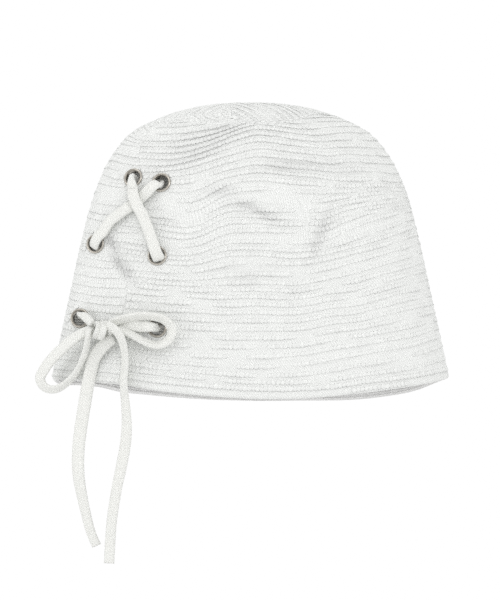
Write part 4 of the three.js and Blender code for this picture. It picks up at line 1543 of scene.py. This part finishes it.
class BEANIE_OT_stage(bpy.types.Operator):
    """Sets up the pale floor, the soft lights and the camera"""

    bl_idname = "beanie.stage"
    bl_label = "Studio"

    def execute(self, context):
        stage = context.scene.beanie_stage
        scene = context.scene
        aim = Vector((0, 0, WALL - stage.aim_drop))
        back = Vector((0, -math.cos(stage.elevation), math.sin(stage.elevation)))
        data = bpy.data.cameras.new("camera")
        data.lens = data.sensor_width * stage.distance / stage.view_height
        data.clip_end = 50
        camera = bpy.data.objects.new("camera", data)
        camera.location = aim + back * stage.distance
        camera.rotation_euler = (-back).to_track_quat("-Z", "Y").to_euler()
        scene.collection.objects.link(camera)
        scene.camera = camera
        self.floor()
        for name, (place, size, setting) in LAMPS.items():
            self.light(name, place, aim, size, getattr(stage, setting))
        scene.world = self.room(stage.surround)
        scene.view_settings.view_transform = "Standard"
        scene.cycles.use_denoising = False
        scene.cycles.diffuse_bounces = 8
        return {"FINISHED"}

    def room(self, light):
        """A white room that shines on the hat with a part of the brightness it shows."""
        world = bpy.data.worlds.new("room")
        world.use_nodes = True
        nodes = Nodes(world.node_tree)
        shown = nodes.add("ShaderNodeLightPath")
        background = world.node_tree.nodes["Background"]
        background.inputs["Color"].default_value = (1, 1, 1, 1)
        nodes.feed(background.inputs["Strength"], light + shown * (1 - light))
        return world

    def light(self, name, place, aim, size, power):
        """A soft square lamp that points at the hat and isn't seen itself."""
        data = bpy.data.lights.new(name, "AREA")
        data.size = size
        data.energy = power
        lamp = bpy.data.objects.new(name, data)
        lamp.location = place
        lamp.visible_camera = False
        lamp.rotation_euler = (aim - Vector(place)).to_track_quat("-Z", "Y").to_euler()
        bpy.context.scene.collection.objects.link(lamp)

    def floor(self):
        """A pale floor under the hat, open to the bright room all round."""
        corners = [(-1, -1), (1, -1), (1, 1), (-1, 1)]
        points = [(x * FLOOR_HALF, y * FLOOR_HALF, FLOOR_LEVEL) for x, y in corners]
        new_mesh("floor", points, [(0, 1, 2, 3)], floor_finish())


class BEANIE_OT_bow(bpy.types.Operator):
    """Ties the bow: its two loops, its two tails and the knot, all of new cotton"""

    bl_idname = "beanie.bow"
    bl_label = "Bow"

    def execute(self, context):
        lace = context.scene.beanie_lace
        cotton = lace_finish(lace)
        knot = wear(self.knot(lace, cotton), "bow_knot")
        for name, rows, far_end, lay in (
            ("bow_loop_left", LOOP_LEFT, "object", "loose"),
            ("bow_loop_right", LOOP_RIGHT, "object", "loose"),
            ("lace_tail_left", TAIL_LEFT, "bare", "hanging"),
            ("lace_tail_right", TAIL_RIGHT, "bare", "hanging"),
        ):
            piece, path = free_band(name + "_band", rows, lace, cotton)
            wear(piece, name)
        return {"FINISHED"}

    def knot(self, lace, material):
        """Bands of the lace, wrapped side by side."""
        parts = []
        angle = np.linspace(0, 2 * math.pi, KNOT_STEPS + 1)
        for row in range(len(KNOT_BANDS["x"])):
            size = {name: values[row] for name, values in KNOT_BANDS.items()}
            lean = math.radians(size["lean"])
            middle = spot(KNOT_CENTRE) + np.array([size["x"], size["y"], -size["drop"]])
            up = np.cos(angle) * size["tall"]
            out = -np.sin(angle) * size["deep"]
            right = up * math.sin(lean) + np.sin(angle) * size["across"]
            path = middle + np.stack([right, out, up * math.cos(lean)], axis=-1)
            wide = np.full(len(path), size["wide"])
            thick = np.full(len(path), lace.thickness * KNOT_THICKER)
            parts.append(band("knot_part", path, path - middle, wide, thick, material))
        return joined("bow_knot_wraps", parts)


def joined(name, parts):
    """Several mesh objects as one."""
    for part in bpy.context.scene.objects:
        part.select_set(part in parts)
    bpy.context.view_layer.objects.active = parts[0]
    bpy.ops.object.join()
    whole = parts[0]
    whole.name = name
    whole.data.name = name
    whole.select_set(False)
    return whole


EASED_STEPS = 6  # how many steps of a band a turn of its flat side is eased over


class BEANIE_OT_lacing(bpy.types.Operator):
    """Runs the lace through the six eyelets, in the cotton of the bow"""

    bl_idname = "beanie.lacing"
    bl_label = "Lacing"

    def execute(self, context):
        lace = context.scene.beanie_lace
        route = lace_route()
        points = np.array([point for point, _, _ in route])
        normals = np.array([normal for _, normal, _ in route])
        widths = np.array([wide for _, _, wide in route])
        path, keys, even = drawn_path(points)
        facing = np.stack([np.interp(even, keys, normals[:, axis]) for axis in range(3)], axis=-1)
        facing = self.carried(path, unit(facing))
        wide = curve_through(keys, widths, even)
        cotton = bpy.data.materials["white_cotton_lace"]
        thick = thickness(lace, wide)
        piece = band("lace_through_eyelets_band", path, facing, wide, thick, cotton)
        wear(piece, "lace_through_eyelets")
        return {"FINISHED"}

    def carried(self, path, wanted):
        """Carries the flat side along the path without a twist, and eases it to what is wanted."""
        tangent = unit(np.gradient(path, axis=0))
        plain = np.empty_like(path)
        now = unit(wanted[0] - tangent[0] * (wanted[0] @ tangent[0]))
        for step in range(len(path)):
            now = unit(now - tangent[step] * (now @ tangent[step]))
            plain[step] = now
        side = np.cross(tangent, plain)
        angle = np.arctan2((wanted * side).sum(-1), (wanted * plain).sum(-1))
        angle = np.unwrap(angle, period=math.pi)
        across = 1 - np.abs((wanted * tangent).sum(-1))
        # Where the wanted way runs along the path it says little, so its neighbours count more.
        sure = smooth(0.25, 0.6, across) + 1e-4
        reach = np.arange(-2 * EASED_STEPS, 2 * EASED_STEPS + 1)
        weights = np.exp(-((reach / EASED_STEPS) ** 2))
        top = np.convolve(angle * sure, weights, "same")
        bottom = np.convolve(sure, weights, "same")
        eased = (top / bottom)[:, None]
        return plain * np.cos(eased) + side * np.sin(eased)


# Each panel's seams, the lap from one to the other in degrees, its grid's steps down and across,
# how its ridges run, whether it faces the front and has eyelets, how folded its ridges are near
# the apex, and the seed of its unevenness.
PANELS = {
    "panel_front": {
        "seams": (LACING_SEAM, CROWN_SEAM), "lap": 0, "steps": (252, 200), "flow": front_flow,
        "in_front": True, "apex_fold": 0, "seed": 11,
    },
    "panel_back": {
        "seams": (CROWN_SEAM, BACK_SEAM), "lap": 360, "steps": (280, 120), "flow": back_flow,
        "in_front": False, "apex_fold": 0.5, "seed": 12,
    },
    "panel_left": {
        "seams": (BACK_SEAM, LACING_SEAM), "lap": 0, "steps": (240, 168), "flow": left_flow,
        "in_front": True, "apex_fold": 0.5, "seed": 13,
    },
}


class BEANIE_OT_panels(bpy.types.Operator):
    """Knits the three panels of the crown, and the raised stitches along their ridges"""

    bl_idname = "beanie.panels"
    bl_label = "Panels and Stitches"

    def execute(self, context):
        knit = context.scene.beanie_knit
        face = knit_finish(knit)
        inside = inside_finish(knit)
        yarn = stitch_finish(knit)
        tree = stitch_tree()
        for name, panel in PANELS.items():
            cloth = Cloth(knit, **panel)
            wall = panel_piece(name + "_knit", cloth, (face, inside), panel["in_front"])
            wear(wall, name)
            stitches = ridge_lines(name + "_stitches", cloth, yarn)
            run_tree(stitches, tree, {
                "Pitch": knit.stitch_pitch,
                "Tall": knit.stitch_tall,
                "Slant": STITCH_SLANT,
                "Tilt": STITCH_TILT,
                "Seed": panel["seed"],
                "Material": yarn,
            })
            wear(stitches, name)
        return {"FINISHED"}


EYELET_SIDES = 48
FACE_HEIGHT = 0.0009  # how far the rolled face stands above its foot
FACE_FOOT = 0.0002  # how high that foot is
FACE_STEP = 9  # degrees of the roll from one ring to the next
FACE_LINE = 72  # where a fine groove runs in it, in degrees from the hole
FACE_LINE_WIDE = 12  # degrees
FACE_LINE_DEEP = 0.0002
FACE_EDGE = 172  # where tarnish and painted shade gather at its outer edge
FACE_EDGE_WIDE = 14  # degrees
FACE_EDGE_DARK = 0.8


class BEANIE_OT_eyelets(bpy.types.Operator):
    """Turns the six metal eyelets"""

    bl_idname = "beanie.eyelets"
    bl_label = "Eyelets"

    def execute(self, context):
        eyelet = context.scene.beanie_eyelet
        nickel = nickel_finish(eyelet)
        profile, hollow = self.profile(eyelet)
        count = len(profile)
        corner = np.arange(EYELET_SIDES * count).reshape(EYELET_SIDES, count)
        after = np.roll(corner, -1, axis=0)
        up = np.roll(corner, -1, axis=1)
        both = np.roll(after, -1, axis=1)
        faces = np.stack([corner, after, both, up], axis=-1).reshape(-1, 4).tolist()
        for name, (centre, axis) in SEATS.items():
            ring = ring_round(axis, EYELET_SIDES)
            points = (centre + ring[:, None] * profile[None, :, :1]
                      + axis * profile[None, :, 1:])
            piece = new_mesh(name + "_turned", points, faces, nickel)
            store(piece.data, "hollow", np.tile(hollow, EYELET_SIDES))
            wear(piece, name)
        return {"FINISHED"}

    def profile(self, eyelet):
        """Radius and height round the eyelet's section, and where tarnish and painted shade gather.
        """
        hole = eyelet.hole
        flange = eyelet.flange
        middle = (hole + flange) / 2
        half = (flange - hole) / 2
        rows = []
        for angle in range(0, 181, FACE_STEP):
            # The fine groove and the outer edge take tarnish and painted shade.
            line = math.exp(-((angle - FACE_LINE) / FACE_LINE_WIDE) ** 2)
            edge = math.exp(-((angle - FACE_EDGE) / FACE_EDGE_WIDE) ** 2)
            turn = math.radians(angle)
            height = FACE_FOOT + FACE_HEIGHT * math.sin(turn) - FACE_LINE_DEEP * line
            rows.append((middle - half * math.cos(turn), height, line + FACE_EDGE_DARK * edge))
        # Under the face, down the neck inside the knit, round the foot and back up the bore; the
        # third number is how much tarnish and painted shade each ring takes.
        rows += [(flange - 0.0004, -0.0001, 0.8), (hole + 0.0005, -0.0001, 1)]
        rows += [(hole + 0.0005, -WALL - 0.0003, 1), (flange - 0.0008, -WALL - 0.0003, 1)]
        rows += [(flange - 0.0010, -WALL - 0.0010, 0), (hole + 0.0004, -WALL - 0.0011, 0)]
        rows += [(hole, -WALL - 0.0007, 0.4), (hole, -0.0006, 0.3)]
        rows = np.array(rows)
        return rows[:, :2], rows[:, 2]


class BEANIE_PT_sidebar(bpy.types.Panel):
    """Lists the steps of the beanie and their sizes"""

    bl_label = "Beanie"
    bl_idname = "BEANIE_PT_sidebar"
    bl_space_type = "VIEW_3D"
    bl_region_type = "UI"
    bl_category = "Beanie"

    def draw(self, context):
        for step in STEPS:
            self.layout.operator(step.bl_idname)
        for name, group in SETTINGS.items():
            box = self.layout.box()
            box.label(text=group.__doc__)
            for field in group.__annotations__:
                box.prop(getattr(context.scene, name), field)


STEPS = (BEANIE_OT_stage, BEANIE_OT_bow, BEANIE_OT_lacing, BEANIE_OT_panels, BEANIE_OT_eyelets)


def register():
    for group in SETTINGS.values():
        bpy.utils.register_class(group)
    for name, group in SETTINGS.items():
        setattr(bpy.types.Scene, name, bpy.props.PointerProperty(type=group))
    for step in STEPS:
        bpy.utils.register_class(step)
    bpy.utils.register_class(BEANIE_PT_sidebar)


def unregister():
    bpy.utils.unregister_class(BEANIE_PT_sidebar)
    for step in reversed(STEPS):
        bpy.utils.unregister_class(step)
    for name in SETTINGS:
        delattr(bpy.types.Scene, name)
    for group in SETTINGS.values():
        bpy.utils.unregister_class(group)


def main():
    register()
    bpy.ops.beanie.stage()
    bpy.ops.beanie.bow()
    bpy.ops.beanie.lacing()
    bpy.ops.beanie.panels()
    bpy.ops.beanie.eyelets()


if __name__ == "__main__":
    main()
